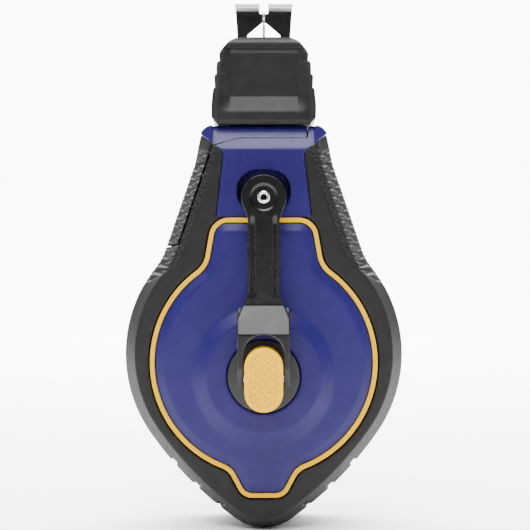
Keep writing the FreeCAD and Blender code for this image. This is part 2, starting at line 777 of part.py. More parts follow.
def front_shell():
    slab = prism("face_slab", outline, "depth - front_skin - 0.01", "depth")
    face_block = common("face_block", slab, face)
    shelled = housing_half("front", "parting", "depth - front_skin", "parting - 1",
                           "depth - front_skin - wall", (face_block,))
    bosses = cutter("front_bosses", "parting", "depth - front_skin - wall + 0.2", screw_circles("screw_boss"))
    solid = fuse("front_with_bosses", shelled, bosses, scoop_cup())
    holes = cutter("front_holes", "parting - 1", "depth - front_skin - wall",
                   screw_circles("screw_radius"))
    window = cutter("gear_window", "parting + 8", "depth + 1",
                    lambda sketch: add_circle(sketch, "0", "0", "gear_window"))
    screws = cutter("cover_screw_holes", "depth - front_skin - wall - 1", "depth - front_skin + 0.2",
                    cover_circles("screw_radius + screw_clear"))
    hinge = pin_bore("front_pin_hole", "pin_radius", "parting - 1", "depth - 4")
    tool = fuse("front_tools", holes, window, screws, hinge, scoop_tool(), lid_space, knuckle_space)
    return cut("front_shell", solid, tool)


def rear_grip():
    block = prism("rear_grip_block", outline, "skin_step", "parting")
    hollow = prism("rear_grip_hollow", core, "-1", "parting + 1")
    return cut("rear_grip", block, fuse("rear_grip_tools", hollow, crown, lid_space, knuckle_space))


def facet_block():
    """The outline from the parting plane to the front, its front rim sloped all round."""
    return sloped("facet_block", outline, "parting", "depth - facet_depth", "facet_inset", "depth")


rim = facet_block()


def front_grip():
    hollow = prism("front_grip_hollow", core, "parting - 1", "depth - front_skin")
    opening = offset(panel, "grip_opening", "bead_half + bead_gap")
    mouth = prism("grip_mouth", opening, "depth - front_skin - 1", "depth + 1")
    face_tool = cutter("grip_face_tool", "depth - front_skin - 1", "depth + 1", draw_face)
    tool = fuse("front_grip_tools", hollow, mouth, face_tool, crown, lid_space, knuckle_space)
    return cut("front_grip", rim, tool)


keep(rear_shell())
keep(front_shell())
keep(rear_grip())
keep(front_grip())

# ---------------------------------------------------------------- gear cover and bead


def gear_cover():
    edge = offset(panel, "panel_rim", "-bead_half")
    slab = sloped("panel_slab", edge, "depth - front_skin", "depth + panel_edge", "panel_bevel",
                  "depth + panel_height")
    boss = revolve("panel_boss", [
        ("0", "depth"), ("boss_foot", "depth"), ("boss_foot", "depth + panel_height"),
        ("boss_crest", "depth + boss_height"), ("0", "depth + boss_height"),
    ])
    solid = fuse("panel_solid", slab, boss)
    bore = cutter("bush_hole", "depth - front_skin - 1", "depth + boss_height + 1",
                  lambda sketch: add_circle(sketch, "0", "0", "hub_bush_radius"))
    recess = cutter("hub_recess", "hub_recess_floor", "depth + boss_height + 1",
                    lambda sketch: add_circle(sketch, "0", "0", "hub_disc_radius + hub_recess_gap"))
    gears = cutter("gear_recess", "depth - front_skin - 1", COVER_FLOOR,
                   lambda sketch: add_circle(sketch, "0", "0", "carrier_radius + 0.6"))
    screws = cutter("cover_pilot_holes", "depth - front_skin - 1", "depth - 0.7",
                    cover_circles("screw_radius"))
    return cut("gear_cover", solid, fuse("cover_tools", bore, recess, gears, screws))


def cover_trim():
    outer = prism("bead_outer", offset(panel, "bead_out", "bead_half"), "depth - front_skin",
                  "depth + bead_height")
    inner = prism("bead_inner", offset(panel, "bead_in", "-(bead_half - bead_fit)"), "depth - front_skin - 1",
                  "depth + bead_height + 1")
    return cut("cover_trim", outer, inner)


def many(label, makers):
    """Separate solids under one label."""
    feature = doc.addObject("Part::Compound", label)
    feature.Label = label
    feature.Links = makers
    doc.recompute()
    return feature


def screw(name, x, z, head_back, length):
    """A pan-head screw along the reel's axis, its head towards the back."""
    body = new_body(name)
    pad(body, "screw_head_height", lambda sketch: add_circle(sketch, x, z, "screw_head"), head_back)
    pad(body, length, lambda sketch: add_circle(sketch, x, z, "screw_radius"),
        "(%s) + screw_head_height" % head_back)
    return body


keep(gear_cover())
keep(cover_trim())
keep(many("case_screws", [
    screw("case_screw_%d" % i, x, z, "1", "depth - front_skin - wall - screw_head_height - 2")
    for i, (x, z) in enumerate(SCREW_SPOTS, start=1)
]))
COVER_SPOTS = (
    ("0", "-cover_screw_circle"),
    ("cover_screw_circle * cos(30 deg)", "cover_screw_circle * 0.5"),
    ("-cover_screw_circle * cos(30 deg)", "cover_screw_circle * 0.5"),
)
keep(many("cover_screws", [
    screw("cover_screw_%d" % i, x, z, "depth - front_skin - wall - screw_head_height",
          "wall + front_skin - 1")
    for i, (x, z) in enumerate(COVER_SPOTS, start=1)
]))

# ---------------------------------------------------------------- lid and nose

MIDDLE = "-parting"
LID_BACK = "wall + skin_step"
LID_FRONT = "depth - front_skin"


def centred(half_x, half_y):
    """A rectangle on a level plane, about the line's channel."""

    def draw(sketch):
        add_rectangle(sketch, "-(%s)" % half_x, "-parting - (%s)" % half_y, half_x, "-parting + (%s)" % half_y)

    return draw


def centred_circle(radius):
    return lambda sketch: add_circle(sketch, "0", MIDDLE, radius)


def upright(name, low, high, draw):
    body = new_body(name)
    pad(body, "(%s) - (%s)" % (high, low), draw, low, "XY_Plane")
    return body


def fill_lid():
    inner = common("lid_inner", prism("lid_core", core, LID_BACK, LID_FRONT), lid_body)
    top = common("lid_top", common("lid_outer", prism("lid_full", outline, "skin_step", "depth - skin_step"), lid_body), crown)
    arm = cutter("lid_arm", "parting - knuckle_half", "parting + knuckle_half", lambda sketch: add_rectangle(
        sketch, "lid_right - 1", "pin_z - 1.6", "pin_x", "pin_z + 1.6"))
    knuckle = pin_bore("lid_knuckle", "knuckle_radius", "parting - knuckle_half", "parting + knuckle_half")
    nose = upright("nose_core", "neck_top - 1", "core_top - 0.3",
                   centred("cap_half - cap_wall - 3.1", "parting - cap_back - cap_wall - 0.3"))
    solid = fuse("lid_solid", inner, top, arm, knuckle, nose)
    bore = pin_bore("lid_pin_bore", "pin_radius + run_gap", "1", "depth - 1")
    channel = upright("line_channel", LID_LOW + " - 4", "core_top + 1", centred_circle("channel_radius"))
    felt = upright("felt_pocket", LID_LOW + " - 4", "neck_top + 11", centred("5", "5"))
    return cut("fill_lid", solid, fuse("lid_tools", bore, channel, felt))


def lid_grip():
    outer = common("lid_skin_outer", prism("lid_skin_full", outline, "skin_step", "depth - skin_step"), lid_body)
    inner = prism("lid_skin_hollow", core, LID_BACK, LID_FRONT)
    whole = cut("lid_skin", outer, fuse("lid_skin_tools", inner, crown))
    return common("lid_grip", whole, rim_all())


def rim_all():
    """The housing's outside over its whole depth, front rim sloped."""
    back = prism("rim_back", outline, "0", "parting")
    return fuse("rim_all", rim, back)


def nose_cap():
    body = new_body("nose_cap")
    pad(body, "cap_front - cap_back", lambda sketch: add_polygon(sketch, [
        ("-(cap_half - 2.6)", "cap_low"), ("cap_half - 2.6", "cap_low"), ("cap_half", "cap_low + 3.2"),
        ("cap_half", "cap_low + 8"), ("cap_half - 1.4", "cap_low + 21"), ("cap_half - 3", "cap_top - 7"),
        ("cap_half - 7", "cap_top - 1.4"), ("cap_half - 11", "cap_top"), ("-(cap_half - 11)", "cap_top"),
        ("-(cap_half - 7)", "cap_top - 1.4"), ("-(cap_half - 3)", "cap_top - 7"),
        ("-(cap_half - 1.4)", "cap_low + 21"), ("-cap_half", "cap_low + 8"), ("-cap_half", "cap_low + 3.2"),
    ]), "cap_back")
    pocket(body, "thumb_depth", lambda sketch: add_rectangle(
        sketch, "-thumb_half", "thumb_low", "thumb_half", "thumb_high"), "cap_front")
    pocket(body, "core_top - cap_low + 1",
           centred("cap_half - cap_wall - 2.8", "parting - cap_back - cap_wall"), "core_top", "XY_Plane")
    pocket(body, "cap_top - core_top + 1", centred_circle("nozzle_radius"), "cap_top", "XY_Plane")
    for side in ("-1", "1"):
        pocket(body, "cap_top - hook_root + hook_slot_gap", lambda sketch: add_rectangle(
            sketch, "%s * (hook_half_low - hook_leg / 2) - hook_leg / 2 - hook_slot_gap" % side,
            "-parting - hook_sheet / 2 - hook_slot_gap",
            "%s * (hook_half_low - hook_leg / 2) + hook_leg / 2 + hook_slot_gap" % side,
            "-parting + hook_sheet / 2 + hook_slot_gap"), "cap_top", "XY_Plane")
    return body


def felt_wiper():
    body = upright("felt_wiper", LID_LOW + " + 1", "neck_top + 11", centred("5", "5"))
    pocket(body, "40", centred_circle("line_radius + 0.3"), "neck_top + 12", "XY_Plane")
    return body


def line_nozzle():
    body = upright("line_nozzle", "cap_top - 4", "cap_top", centred_circle("nozzle_radius"))
    pocket(body, "10", centred_circle("nozzle_radius - 1.2"), "cap_top + 1", "XY_Plane")
    return body


def lid_seal():
    body = upright("lid_seal", LID_LOW + " - 0.9", LID_LOW, centred("seal_half", "seal_depth"))
    pocket(body, "3", centred("seal_half - 3", "seal_depth - 3"), LID_LOW + " + 1", "XY_Plane")
    round_edges(body, "2", along(FreeCAD.Vector(0, 0, 1)))
    return body


keep(fill_lid())
keep(lid_grip())
keep(nose_cap())
keep(felt_wiper())
keep(line_nozzle())
keep(lid_seal())
keep(pin_bore("lid_hinge_pin", "pin_radius", "4", "depth - 4"))

# ---------------------------------------------------------------- hook and line


def hook():
    body = new_body("hook")
    pad(body, "hook_sheet", lambda sketch: add_polygon(sketch, [
        ("-hook_half_top", "hook_top"), ("-hook_half_low", "window_shoulder"), ("-hook_half_low", "hook_root"),
        ("hook_half_low", "hook_root"), ("hook_half_low", "window_shoulder"), ("hook_half_top", "hook_top"),
    ]), "parting - hook_sheet / 2")
    pad(body, "2 * hook_lip_reach", lambda sketch: add_rectangle(
        sketch, "-hook_half_top", "hook_top - hook_lip", "hook_half_top", "hook_top"),
        "parting - hook_lip_reach")
    pocket(body, "hook_sheet + 1", lambda sketch: add_polygon(sketch, [
        ("0", "window_apex"), ("-(hook_half_low - hook_leg)", "window_shoulder"),
        ("-(hook_half_low - hook_leg)", "hook_root - 1"), ("hook_half_low - hook_leg", "hook_root - 1"),
        ("hook_half_low - hook_leg", "window_shoulder"),
    ]), "parting + hook_sheet / 2")
    pocket(body, "2 * hook_lip_reach + 1", lambda sketch: add_rectangle(
        sketch, "-nail_half", "hook_top - nail_depth", "nail_half", "hook_top + 1"),
        "parting + hook_lip_reach")
    return body


def line_clip():
    """A wire loop through the hook's window and its nail notch."""
    loop = doc.addObject("Part::Torus", "line_clip")
    loop.Label = "line_clip"
    bind(loop, "Radius1", "clip_loop")
    bind(loop, "Radius2", "clip_wire")
    bind(loop, "Placement.Base.y", MIDDLE)
    bind(loop, "Placement.Base.z", "(window_apex + hook_top - nail_depth) / 2")
    loop.Placement.Rotation = FreeCAD.Rotation(FreeCAD.Vector(0, 1, 0), 90)
    doc.recompute()
    return loop


def line_lead():
    """The line's end, from the clip down through the nose."""
    top = "(window_apex + hook_top - nail_depth) / 2 - clip_loop - clip_wire"
    return upright("line_lead", LID_LOW + " + 2", top, centred_circle("line_radius"))


def line_run():
    """The line's straight run from the winding up to the neck's mouth."""
    start_radius = size("winding_radius + 1")
    mouth = FreeCAD.Vector(0, -size("parting"), size(LID_LOW + " - 1.5"))
    turn = math.acos(start_radius / mouth.z)
    spool_middle = size("(spool_back + spool_front) / 2")
    start = FreeCAD.Vector(-start_radius * math.sin(turn), -spool_middle, start_radius * math.cos(turn))
    run = mouth - start
    feature = doc.addObject("Part::Feature", "line_run")
    feature.Shape = Part.makeCylinder(size("line_radius"), run.Length, start, run)
    return feature


keep(hook())
keep(line_clip())
keep(line_lead())
keep(line_run())

# ---------------------------------------------------------------- spool and axle


def spool():
    return revolve("spool", [
        ("bush_radius", "spool_back"), ("spool_radius", "spool_back"),
        ("spool_radius", "spool_back + spool_flange"), ("spool_hub", "spool_back + spool_flange"),
        ("spool_hub", "spool_front - spool_flange"), ("spool_radius", "spool_front - spool_flange"),
        ("spool_radius", "spool_front"), ("bush_radius", "spool_front"),
    ])


def spool_axle():
    groove_back = "spool_front + 0.3"
    groove_front = "spool_front + 0.3 + clip_thick"
    return revolve("spool_axle", [
        ("0", "wall - 0.9"), ("axle_radius", "wall - 0.9"), ("axle_radius", groove_back),
        ("clip_groove", groove_back), ("clip_groove", groove_front), ("axle_radius", groove_front),
        ("axle_radius", "axle_front"), ("0", "axle_front"),
    ])


keep(spool())
keep(ring("spool_bush", "axle_radius + run_gap", "bush_radius", "spool_back", "spool_front"))
keep(ring("line_winding", "spool_hub", "winding_radius", "spool_back + spool_flange",
          "spool_front - spool_flange"))
keep(spool_axle())
keep(ring("spool_washer", "axle_radius + run_gap", "washer_radius", "spool_back - 0.8 + 0.1",
          "spool_back - 0.1"))
keep(ring("axle_clip", "clip_groove", "clip_radius", "spool_front + 0.3", "spool_front + 0.3 + clip_thick"))

# ---------------------------------------------------------------- gears


def involute_flank(pitch, base, radius, half_thick):
    """The angle from a tooth's middle to its flank at a radius."""
    def spread(r):
        turn = math.sqrt(max((r / base) ** 2 - 1, 0))
        return turn - math.atan(turn)

    return half_thick / pitch + spread(pitch) - spread(max(radius, base))


def gear_face(teeth, inner, outer, half_thick, phase):
    """A flat gear blank on the XZ plane with involute teeth, a tooth's middle at the phase angle."""
    module = size("gear_module")
    pitch = teeth * module / 2
    base = pitch * math.cos(math.radians(size("pressure")))
    steps = 6
    radii = [inner + (outer - inner) * i / steps for i in range(steps + 1)]

    def spot(radius, angle):
        return FreeCAD.Vector(radius * math.cos(angle), 0, radius * math.sin(angle))

    edges = []
    for tooth in range(int(teeth)):
        middle = phase + 2 * math.pi * tooth / teeth
        following = middle + 2 * math.pi / teeth
        half = [involute_flank(pitch, base, r, half_thick) for r in radii]
        rising = Part.BSplineCurve()
        rising.interpolate([spot(r, middle - a) for r, a in zip(radii, half)])
        falling = Part.BSplineCurve()
        falling.interpolate([spot(r, middle + a) for r, a in reversed(list(zip(radii, half)))])
        edges.append(rising.toShape())
        edges.append(Part.Arc(spot(outer, middle - half[-1]), spot(outer, middle),
                              spot(outer, middle + half[-1])).toShape())
        edges.append(falling.toShape())
        edges.append(Part.Arc(spot(inner, middle + half[0]), spot(inner, (middle + following) / 2),
                              spot(inner, following - half[0])).toShape())
    return Part.Face(Part.Wire(edges))


def gear_solid(teeth, inner, outer, half_thick, phase, back, front):
    face = gear_face(teeth, inner, outer, half_thick, phase)
    face.translate(FreeCAD.Vector(0, -back, 0))
    return face.extrude(FreeCAD.Vector(0, back - front, 0))


def disc(radius, back, front, x=0.0, z=0.0):
    return Part.makeCylinder(radius, front - back, FreeCAD.Vector(x, -back, z), FreeCAD.Vector(0, -1, 0))


def shaped(label, shape, place=None):
    feature = doc.addObject("Part::Feature", label)
    feature.Label = label
    feature.Shape = shape
    if place:
        feature.Placement = place
    return feature


def tooth_half():
    """Half a tooth's thickness on the pitch circle."""
    return math.pi * size("gear_module") / 4 - size("tooth_thin") / 2


def sun_gear():
    teeth = size("sun_teeth")
    pitch = teeth * size("gear_module") / 2
    solid = gear_solid(teeth, pitch - size("dedendum"), pitch + size("addendum"), tooth_half(), 0,
                       size("spool_front"), size("sun_front"))
    return shaped("sun_gear", solid.cut(disc(size("sun_bore"), size("spool_front") - 1,
                                             size("sun_front") + 1)))


def planet_gear(index):
    """A planet on its pin. Each is turned so that a gap faces the sun."""
    teeth = size("planet_teeth")
    pitch = teeth * size("gear_module") / 2
    angle = math.pi / 2 + index * 2 * math.pi / 3
    reach = size("(sun_teeth + planet_teeth) * gear_module / 2")
    solid = gear_solid(teeth, pitch - size("dedendum"), pitch + size("addendum"), tooth_half(),
                       angle + math.pi / teeth, size("planet_back"), size("planet_front"))
    solid = solid.cut(disc(size("planet_pin + run_gap"), size("planet_back") - 1, size("planet_front") + 1))
    place = FreeCAD.Placement(
        FreeCAD.Vector(reach * math.cos(angle), 0, reach * math.sin(angle)), FreeCAD.Rotation()
    )
    return shaped("planet_gear_%d" % (index + 1), solid, place)


def ring_gear():
    """The fixed ring, its teeth inward, with a plain bore round the carrier."""
    teeth = size("sun_teeth + 2 * planet_teeth")
    pitch = teeth * size("gear_module") / 2
    back, front = size("planet_back - 0.1"), size("depth - front_skin")
    gap_half = math.pi * size("gear_module") / 2 - tooth_half()
    teeth_front = size("carrier_back - 0.3")
    space = gear_solid(teeth, pitch - size("addendum"), pitch + size("dedendum"), gap_half,
                       math.pi / teeth, back - 1, front + 1)
    solid = disc(size("ring_outer"), back, front).cut(space)
    solid = solid.cut(disc(size("ring_bore"), teeth_front, front + 1))
    return shaped("ring_gear", solid)


def planet_carrier():
    body = revolve("planet_carrier", [
        ("carrier_bore", "carrier_back"), ("carrier_radius", "carrier_back"),
        ("carrier_radius", "carrier_front"), ("carrier_bore", "carrier_front"),
    ])
    window = pocket(body, "10", dog_tooth_shape("dog_play"), "carrier_front + 1")
    polar(body, window, "dog_count")
    for index in range(3):
        angle = 90 + 120 * index
        pocket(body, "10", lambda sketch: add_circle(
            sketch, "(sun_teeth + planet_teeth) * gear_module / 2 * cos(%d deg)" % angle,
            "(sun_teeth + planet_teeth) * gear_module / 2 * sin(%d deg)" % angle, "planet_pin"),
            "carrier_front + 1")
    return body


def dog_tooth_shape(play):
    """One dog tooth, or with a play its window in the carrier."""

    def draw(sketch):
        add_rectangle(sketch, "-(1.1 + %s)" % play, "carrier_bore + 1 - %s" % play, "1.1 + %s" % play,
                      "dog_radius - 0.6 + %s" % play)

    return draw


def planet_pins():
    reach = "(sun_teeth + planet_teeth) * gear_module / 2"
    return many("planet_pins", [
        cutter("planet_pin_%d" % (i + 1), "planet_back + 0.2", "carrier_front", lambda sketch: add_circle(
            sketch, "%s * cos(%d deg)" % (reach, 90 + 120 * i), "%s * sin(%d deg)" % (reach, 90 + 120 * i),
            "planet_pin"))
        for i in range(3)
    ])


keep(sun_gear())
keep(ring_gear())
keep(planet_carrier())
for number in range(3):
    keep(planet_gear(number))
keep(planet_pins())

# ---------------------------------------------------------------- clutch, hub and button


def draw_stem(gap):
    half = "(stem_half + %s)" % gap
    return lambda sketch: add_rectangle(sketch, "-" + half, "-" + half, half, half)


def clutch_dog():
    """The dog on its square stem. Its teeth stand in the carrier's windows."""
    body = new_body("clutch_dog")
    pad(body, "dog_plate", lambda sketch: add_circle(sketch, "0", "0", "dog_radius"), "dog_back")
    pad(body, "button_front - button_cap - dog_back - dog_plate + 0.2", draw_stem("0"),
        "dog_back + dog_plate - 0.2")
    tooth = pad(body, "dog_tooth + 0.2", dog_tooth_shape("0"), "dog_back + dog_plate - 0.2")
    polar(body, tooth, "dog_count")
    return body


def crank_hub():
    tube_back = "carrier_front + 0.3"
    body = revolve("crank_hub", [
        ("0", tube_back), ("tube_radius", tube_back), ("tube_radius", "hub_disc_back"),
        ("hub_disc_radius", "hub_disc_back"), ("hub_disc_radius", "hub_disc_front"), ("0", "hub_disc_front"),
    ])
    margin = "button_wall + button_gap"
    pad(body, "block_front - hub_disc_front + 0.2", lambda sketch: add_slot(
        sketch, "button_half_x - (%s)" % margin, "button_half_z - (%s)" % margin), "hub_disc_front - 0.2")
    pocket(body, "40", draw_stem("stem_gap"), "block_front + 1")
    pocket(body, "block_front - spring_seat + 1", lambda sketch: add_circle(sketch, "0", "0", "spring_bore"),
           "block_front + 1")
    pocket(body, "2 * button_half_x", lambda sketch: add_circle(sketch, "-(depth + fold_height)", "0", "hinge_pin"),
           "0", "YZ_Plane", True)
    return body


def release_button():
    body = new_body("release_button")
    pad(body, "button_front - button_back", lambda sketch: add_slot(sketch, "button_half_x", "button_half_z"),
        "button_back")
    pocket(body, "20", lambda sketch: add_slot(sketch, "button_half_x - button_wall", "button_half_z - button_wall"),
           "button_front - button_cap")
    pocket(body, "3 * button_half_x", lambda sketch: add_rectangle(
        sketch, "-(depth + fold_height + hinge_pin + button_travel + 0.3)", "-(hinge_pin + 0.3)",
        "-(button_back - 1)", "hinge_pin + 0.3"), "0", "YZ_Plane", True)
    return body


def hinge_pins():
    """Two half pins in the hub's block, one under each ear."""
    sides = []
    for name, side in (("hinge_pin_left", "-ear_outer"), ("hinge_pin_right", "spring_bore + 0.3")):
        body = new_body(name)
        pad(body, "ear_outer - spring_bore - 0.3", lambda sketch: add_circle(
            sketch, "-(depth + fold_height)", "0", "hinge_pin"), side, "YZ_Plane")
        sides.append(body)
    return many("hinge_pins", sides)


def button_spring():
    """A coil round the stem, from the hub's seat to the button."""
    low, high = size("spring_seat"), size("button_front - button_cap")
    wire = size("spring_wire")
    turns = size("spring_turns")
    rise = high - low - 2 * wire
    helix = Part.makeHelix(rise / turns, rise, size("spring_radius"))
    section = Part.Wire([Part.makeCircle(wire, FreeCAD.Vector(size("spring_radius"), 0, 0),
                                         FreeCAD.Vector(0, 1, 0))])
    coil = Part.Wire(helix).makePipeShell([section], True, True)
    place = FreeCAD.Placement(
        FreeCAD.Vector(0, -(low + wire), 0), FreeCAD.Rotation(FreeCAD.Vector(1, 0, 0), 90)
    )
    return shaped("button_spring", coil, place)


keep(clutch_dog())
keep(button_spring())
keep(crank_hub())
keep(ring("hub_bush", "tube_radius + run_gap", "hub_bush_radius", COVER_FLOOR, "hub_recess_floor"))
keep(hinge_pins())
keep(release_button())

# ---------------------------------------------------------------- crank


def crank_arm():
    bend = new_body("arm_bend")
    top = "crank_radius + arm_end_radius + 1"
    pad(bend, "2 * ear_outer", lambda sketch: add_polygon(sketch, [
        ("-(depth + arm_back)", top), ("-(depth + arm_front)", top), ("-(depth + arm_front)", "ramp_foot"),
        ("-(depth + arm_front + ramp_rise)", "ramp_top"), ("-(depth + arm_front + ramp_rise)", "fork_low"),
        ("-(depth + arm_back + ramp_rise)", "fork_low"), ("-(depth + arm_back + ramp_rise)", "ramp_top"),
        ("-(depth + arm_back)", "ramp_foot"),
    ]), "0", "YZ_Plane", True)
    shape = new_body("arm_outline")
    pad(shape, "30", lambda sketch: add_polygon(sketch, [
        ("-ear_outer", "fork_low - 1"), ("ear_outer", "fork_low - 1"), ("ear_outer", "ramp_top + 6"),
        ("arm_half", "ramp_foot + 4"), ("arm_half", "crank_radius - arm_end_radius"),
        ("arm_end_radius", "crank_radius"), ("-arm_end_radius", "crank_radius"),
        ("-arm_half", "crank_radius - arm_end_radius"), ("-arm_half", "ramp_foot + 4"),
        ("-ear_outer", "ramp_top + 6"),
    ]), "depth")
    pad(shape, "30", lambda sketch: add_circle(sketch, "0", "crank_radius", "arm_end_radius"), "depth")
    plate = common("arm_plate", bend, shape)
    ears = []
    for name, side in (("left_ear", "-ear_outer"), ("right_ear", "ear_inner")):
        ear = new_body(name)
        pad(ear, "ear_outer - ear_inner", lambda sketch: add_polygon(sketch, [
            ("-(depth + ear_back)", "ear_low"), ("-(depth + 2 * fold_height - ear_back)", "ear_low"),
            ("-(depth + arm_front + ramp_rise)", "fork_low - 3"),
            ("-(depth + arm_front + ramp_rise)", "ramp_top"),
            ("-(depth + arm_back)", "ramp_foot - 1"), ("-(depth + ear_back)", "fork_low + 4"),
        ]), side, "YZ_Plane")
        ears.append(ear)
    solid = fuse("arm_solid", plate, *ears)
    fork = new_body("fork_tool")
    pad(fork, "30", lambda sketch: add_slot(sketch, "ear_inner", "ramp_top"), "depth")
    pins = new_body("ear_bores")
    pad(pins, "3 * ear_outer", lambda sketch: add_circle(
        sketch, "-(depth + fold_height)", "0", "hinge_pin + run_gap"), "0", "YZ_Plane", True)
    rivet = cutter("rivet_hole", "depth", "depth + 30", lambda sketch: add_circle(
        sketch, "0", "crank_radius", "rivet_radius"))
    return cut("crank_arm", solid, fuse("arm_tools", fork, pins, rivet))


def crank_knob():
    bore = "rivet_radius + run_gap"
    back = "depth + knob_back"
    front = "depth + arm_back - knob_gap"
    body = revolve("crank_knob", [
        (bore, back + " + 2.1"), ("rivet_foot + 0.3", back + " + 2.1"), ("rivet_foot + 0.3", back),
        ("knob_radius - 1.5", back), ("knob_radius", back + " + 2"), ("knob_radius", front + " - 2"),
        ("knob_radius - 1.8", front), (bore, front),
    ])
    bind(body, "Placement.Base.z", "crank_radius")
    return body


def knob_rivet():
    body = revolve("knob_rivet", [
        ("0", "depth + knob_back + 0.5"), ("rivet_foot", "depth + knob_back + 0.5"),
        ("rivet_foot", "depth + knob_back + 1.9"), ("rivet_radius", "depth + knob_back + 1.9"),
        ("rivet_radius", "depth + arm_front"), ("rivet_head", "depth + arm_front"),
        ("rivet_head - 0.5", "depth + arm_front + rivet_rise"), ("0", "depth + arm_front + rivet_rise"),
    ])
    bind(body, "Placement.Base.z", "crank_radius")
    return body


keep(crank_arm())
keep(crank_knob())
keep(knob_rivet())

# ---------------------------------------------------------------- checks and files

doc.recompute()
for item in doc.Objects:
    if "Invalid" in item.State or "Error" in item.State:
        raise ValueError("%s is %s" % (item.Label, item.State))
for node in nodes:
    if node.Shape.isNull() or not node.Shape.isValid() or not node.Shape.Solids:
        raise ValueError("%s has no valid solid" % node.Label)

os.makedirs("parts", exist_ok=True)
for node in nodes:
    node.Shape.exportStep(os.path.join("parts", node.Label + ".step"))
    print("%-16s %d solids %9.1f mm3" % (node.Label, len(node.Shape.Solids), node.Shape.Volume))
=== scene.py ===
import json
import math

import bmesh
import bpy
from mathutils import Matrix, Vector


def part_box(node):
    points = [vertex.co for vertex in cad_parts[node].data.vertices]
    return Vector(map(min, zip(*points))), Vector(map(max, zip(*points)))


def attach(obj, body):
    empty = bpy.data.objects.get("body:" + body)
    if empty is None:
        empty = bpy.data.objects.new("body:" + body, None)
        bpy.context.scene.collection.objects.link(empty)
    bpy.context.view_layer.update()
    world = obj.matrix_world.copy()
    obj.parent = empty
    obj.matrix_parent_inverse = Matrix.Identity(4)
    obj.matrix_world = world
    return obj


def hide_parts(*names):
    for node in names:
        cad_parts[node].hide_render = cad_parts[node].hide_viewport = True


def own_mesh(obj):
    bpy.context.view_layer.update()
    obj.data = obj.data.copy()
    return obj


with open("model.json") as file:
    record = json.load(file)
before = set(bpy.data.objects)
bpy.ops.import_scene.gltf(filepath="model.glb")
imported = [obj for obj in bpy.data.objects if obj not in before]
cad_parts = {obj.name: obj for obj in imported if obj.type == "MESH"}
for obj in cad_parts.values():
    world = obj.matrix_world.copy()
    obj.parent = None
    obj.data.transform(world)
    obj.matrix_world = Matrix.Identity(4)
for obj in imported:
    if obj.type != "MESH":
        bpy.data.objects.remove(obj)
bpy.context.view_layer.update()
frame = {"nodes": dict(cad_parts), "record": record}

# The chalk line reel's looks, in millimetres until a mesh is made. Points are (x, depth, z), where depth is
# the distance in front of the flat back, as in the CAD frame: y = -depth.

MM = 0.001
NODE_BODY = {n: body for body, names in frame["record"]["behaviour"]["bodies"].items() for n in names}
NODE_SLOT = {row["node"]: row["material_slot"] for row in frame["record"]["subparts"]}

DEPTH = 42.0
DRUM_Z, DRUM_R = 8.6, 56.5
TIP_Z, TIP_R = -62.5, 19.5
NECK_TOP = 101.3


# ---------------------------------------------------------------- camera, light and floor

CAMERA_AT = Vector((0.5, -541.0, 44.7)) * MM
CAMERA_LENS = 84.1


def add_camera():
    data = bpy.data.cameras.new("camera")
    data.lens = CAMERA_LENS
    data.sensor_width = 36
    camera = bpy.data.objects.new("camera", data)
    bpy.context.scene.collection.objects.link(camera)
    camera.location = CAMERA_AT
    camera.rotation_euler = (math.pi / 2, 0, 0)
    bpy.context.scene.camera = camera


def add_area(name, at, toward, width, height, power):
    data = bpy.data.lights.new(name, "AREA")
    data.shape = "RECTANGLE"
    data.size = width
    data.size_y = height
    data.energy = power
    light = bpy.data.objects.new(name, data)
    bpy.context.scene.collection.objects.link(light)
    light.location = at
    light.rotation_euler = (Vector(toward) - Vector(at)).to_track_quat("-Z", "Y").to_euler()
    return light


# name, where it is, what it faces, width, height (m) and power (W)
LIGHTS = (
    ("key", (-0.15, -0.80, 0.95), (0, -0.03, 0.03), 0.8, 0.45, 17.0),
    ("top_softbox", (0.0, -0.16, 0.95), (0, -0.03, 0.05), 0.7, 0.35, 16.0),
    ("left_strip", (-0.75, -0.20, 0.15), (0, -0.02, 0.03), 0.15, 0.9, 2.2),
    ("right_strip", (0.75, -0.20, 0.15), (0, -0.02, 0.03), 0.15, 0.9, 2.2),
    ("wall_wash", (0.0, 0.9, 1.5), (0, 2.2, 0.3), 2.4, 0.6, 300.0),
    ("floor_wash", (0.0, 0.75, 1.2), (0, 0.75, -0.06), 2.6, 0.9, 90.0),
)
WORLD_LIGHT = 0.07


def add_lights():
    for light in LIGHTS:
        add_area(*light)
    world = bpy.data.worlds.new("studio")
    bpy.context.scene.world = world
    world.use_nodes = True
    background = world.node_tree.nodes["Background"]
    background.inputs["Color"].default_value = (1, 1, 1, 1)
    background.inputs["Strength"].default_value = WORLD_LIGHT


def add_floor():
    """A pale sweep: floor, curved rise and wall in one sheet."""
    floor_z = TIP_Z * MM - 0.0004
    near, far, half_width, curve, wall_top, steps = -2.6, 1.6, 4.0, 0.6, 2.4, 16
    profile = [(near, floor_z), (far, floor_z)]
    profile += [
        (far + curve * math.sin(a), floor_z + curve * (1 - math.cos(a)))
        for a in (math.pi / 2 * i / steps for i in range(1, steps + 1))
    ]
    profile.append((far + curve, wall_top))
    verts = [(x, y, z) for y, z in profile for x in (-half_width, half_width)]
    faces = [(2 * i, 2 * i + 1, 2 * i + 3, 2 * i + 2) for i in range(len(profile) - 1)]
    mesh = bpy.data.meshes.new("floor")
    mesh.from_pydata(verts, [], faces)
    mesh.shade_smooth()
    floor = bpy.data.objects.new("floor", mesh)
    bpy.context.scene.collection.objects.link(floor)
    mesh.materials.append(floor_paper())


# ---------------------------------------------------------------- materials


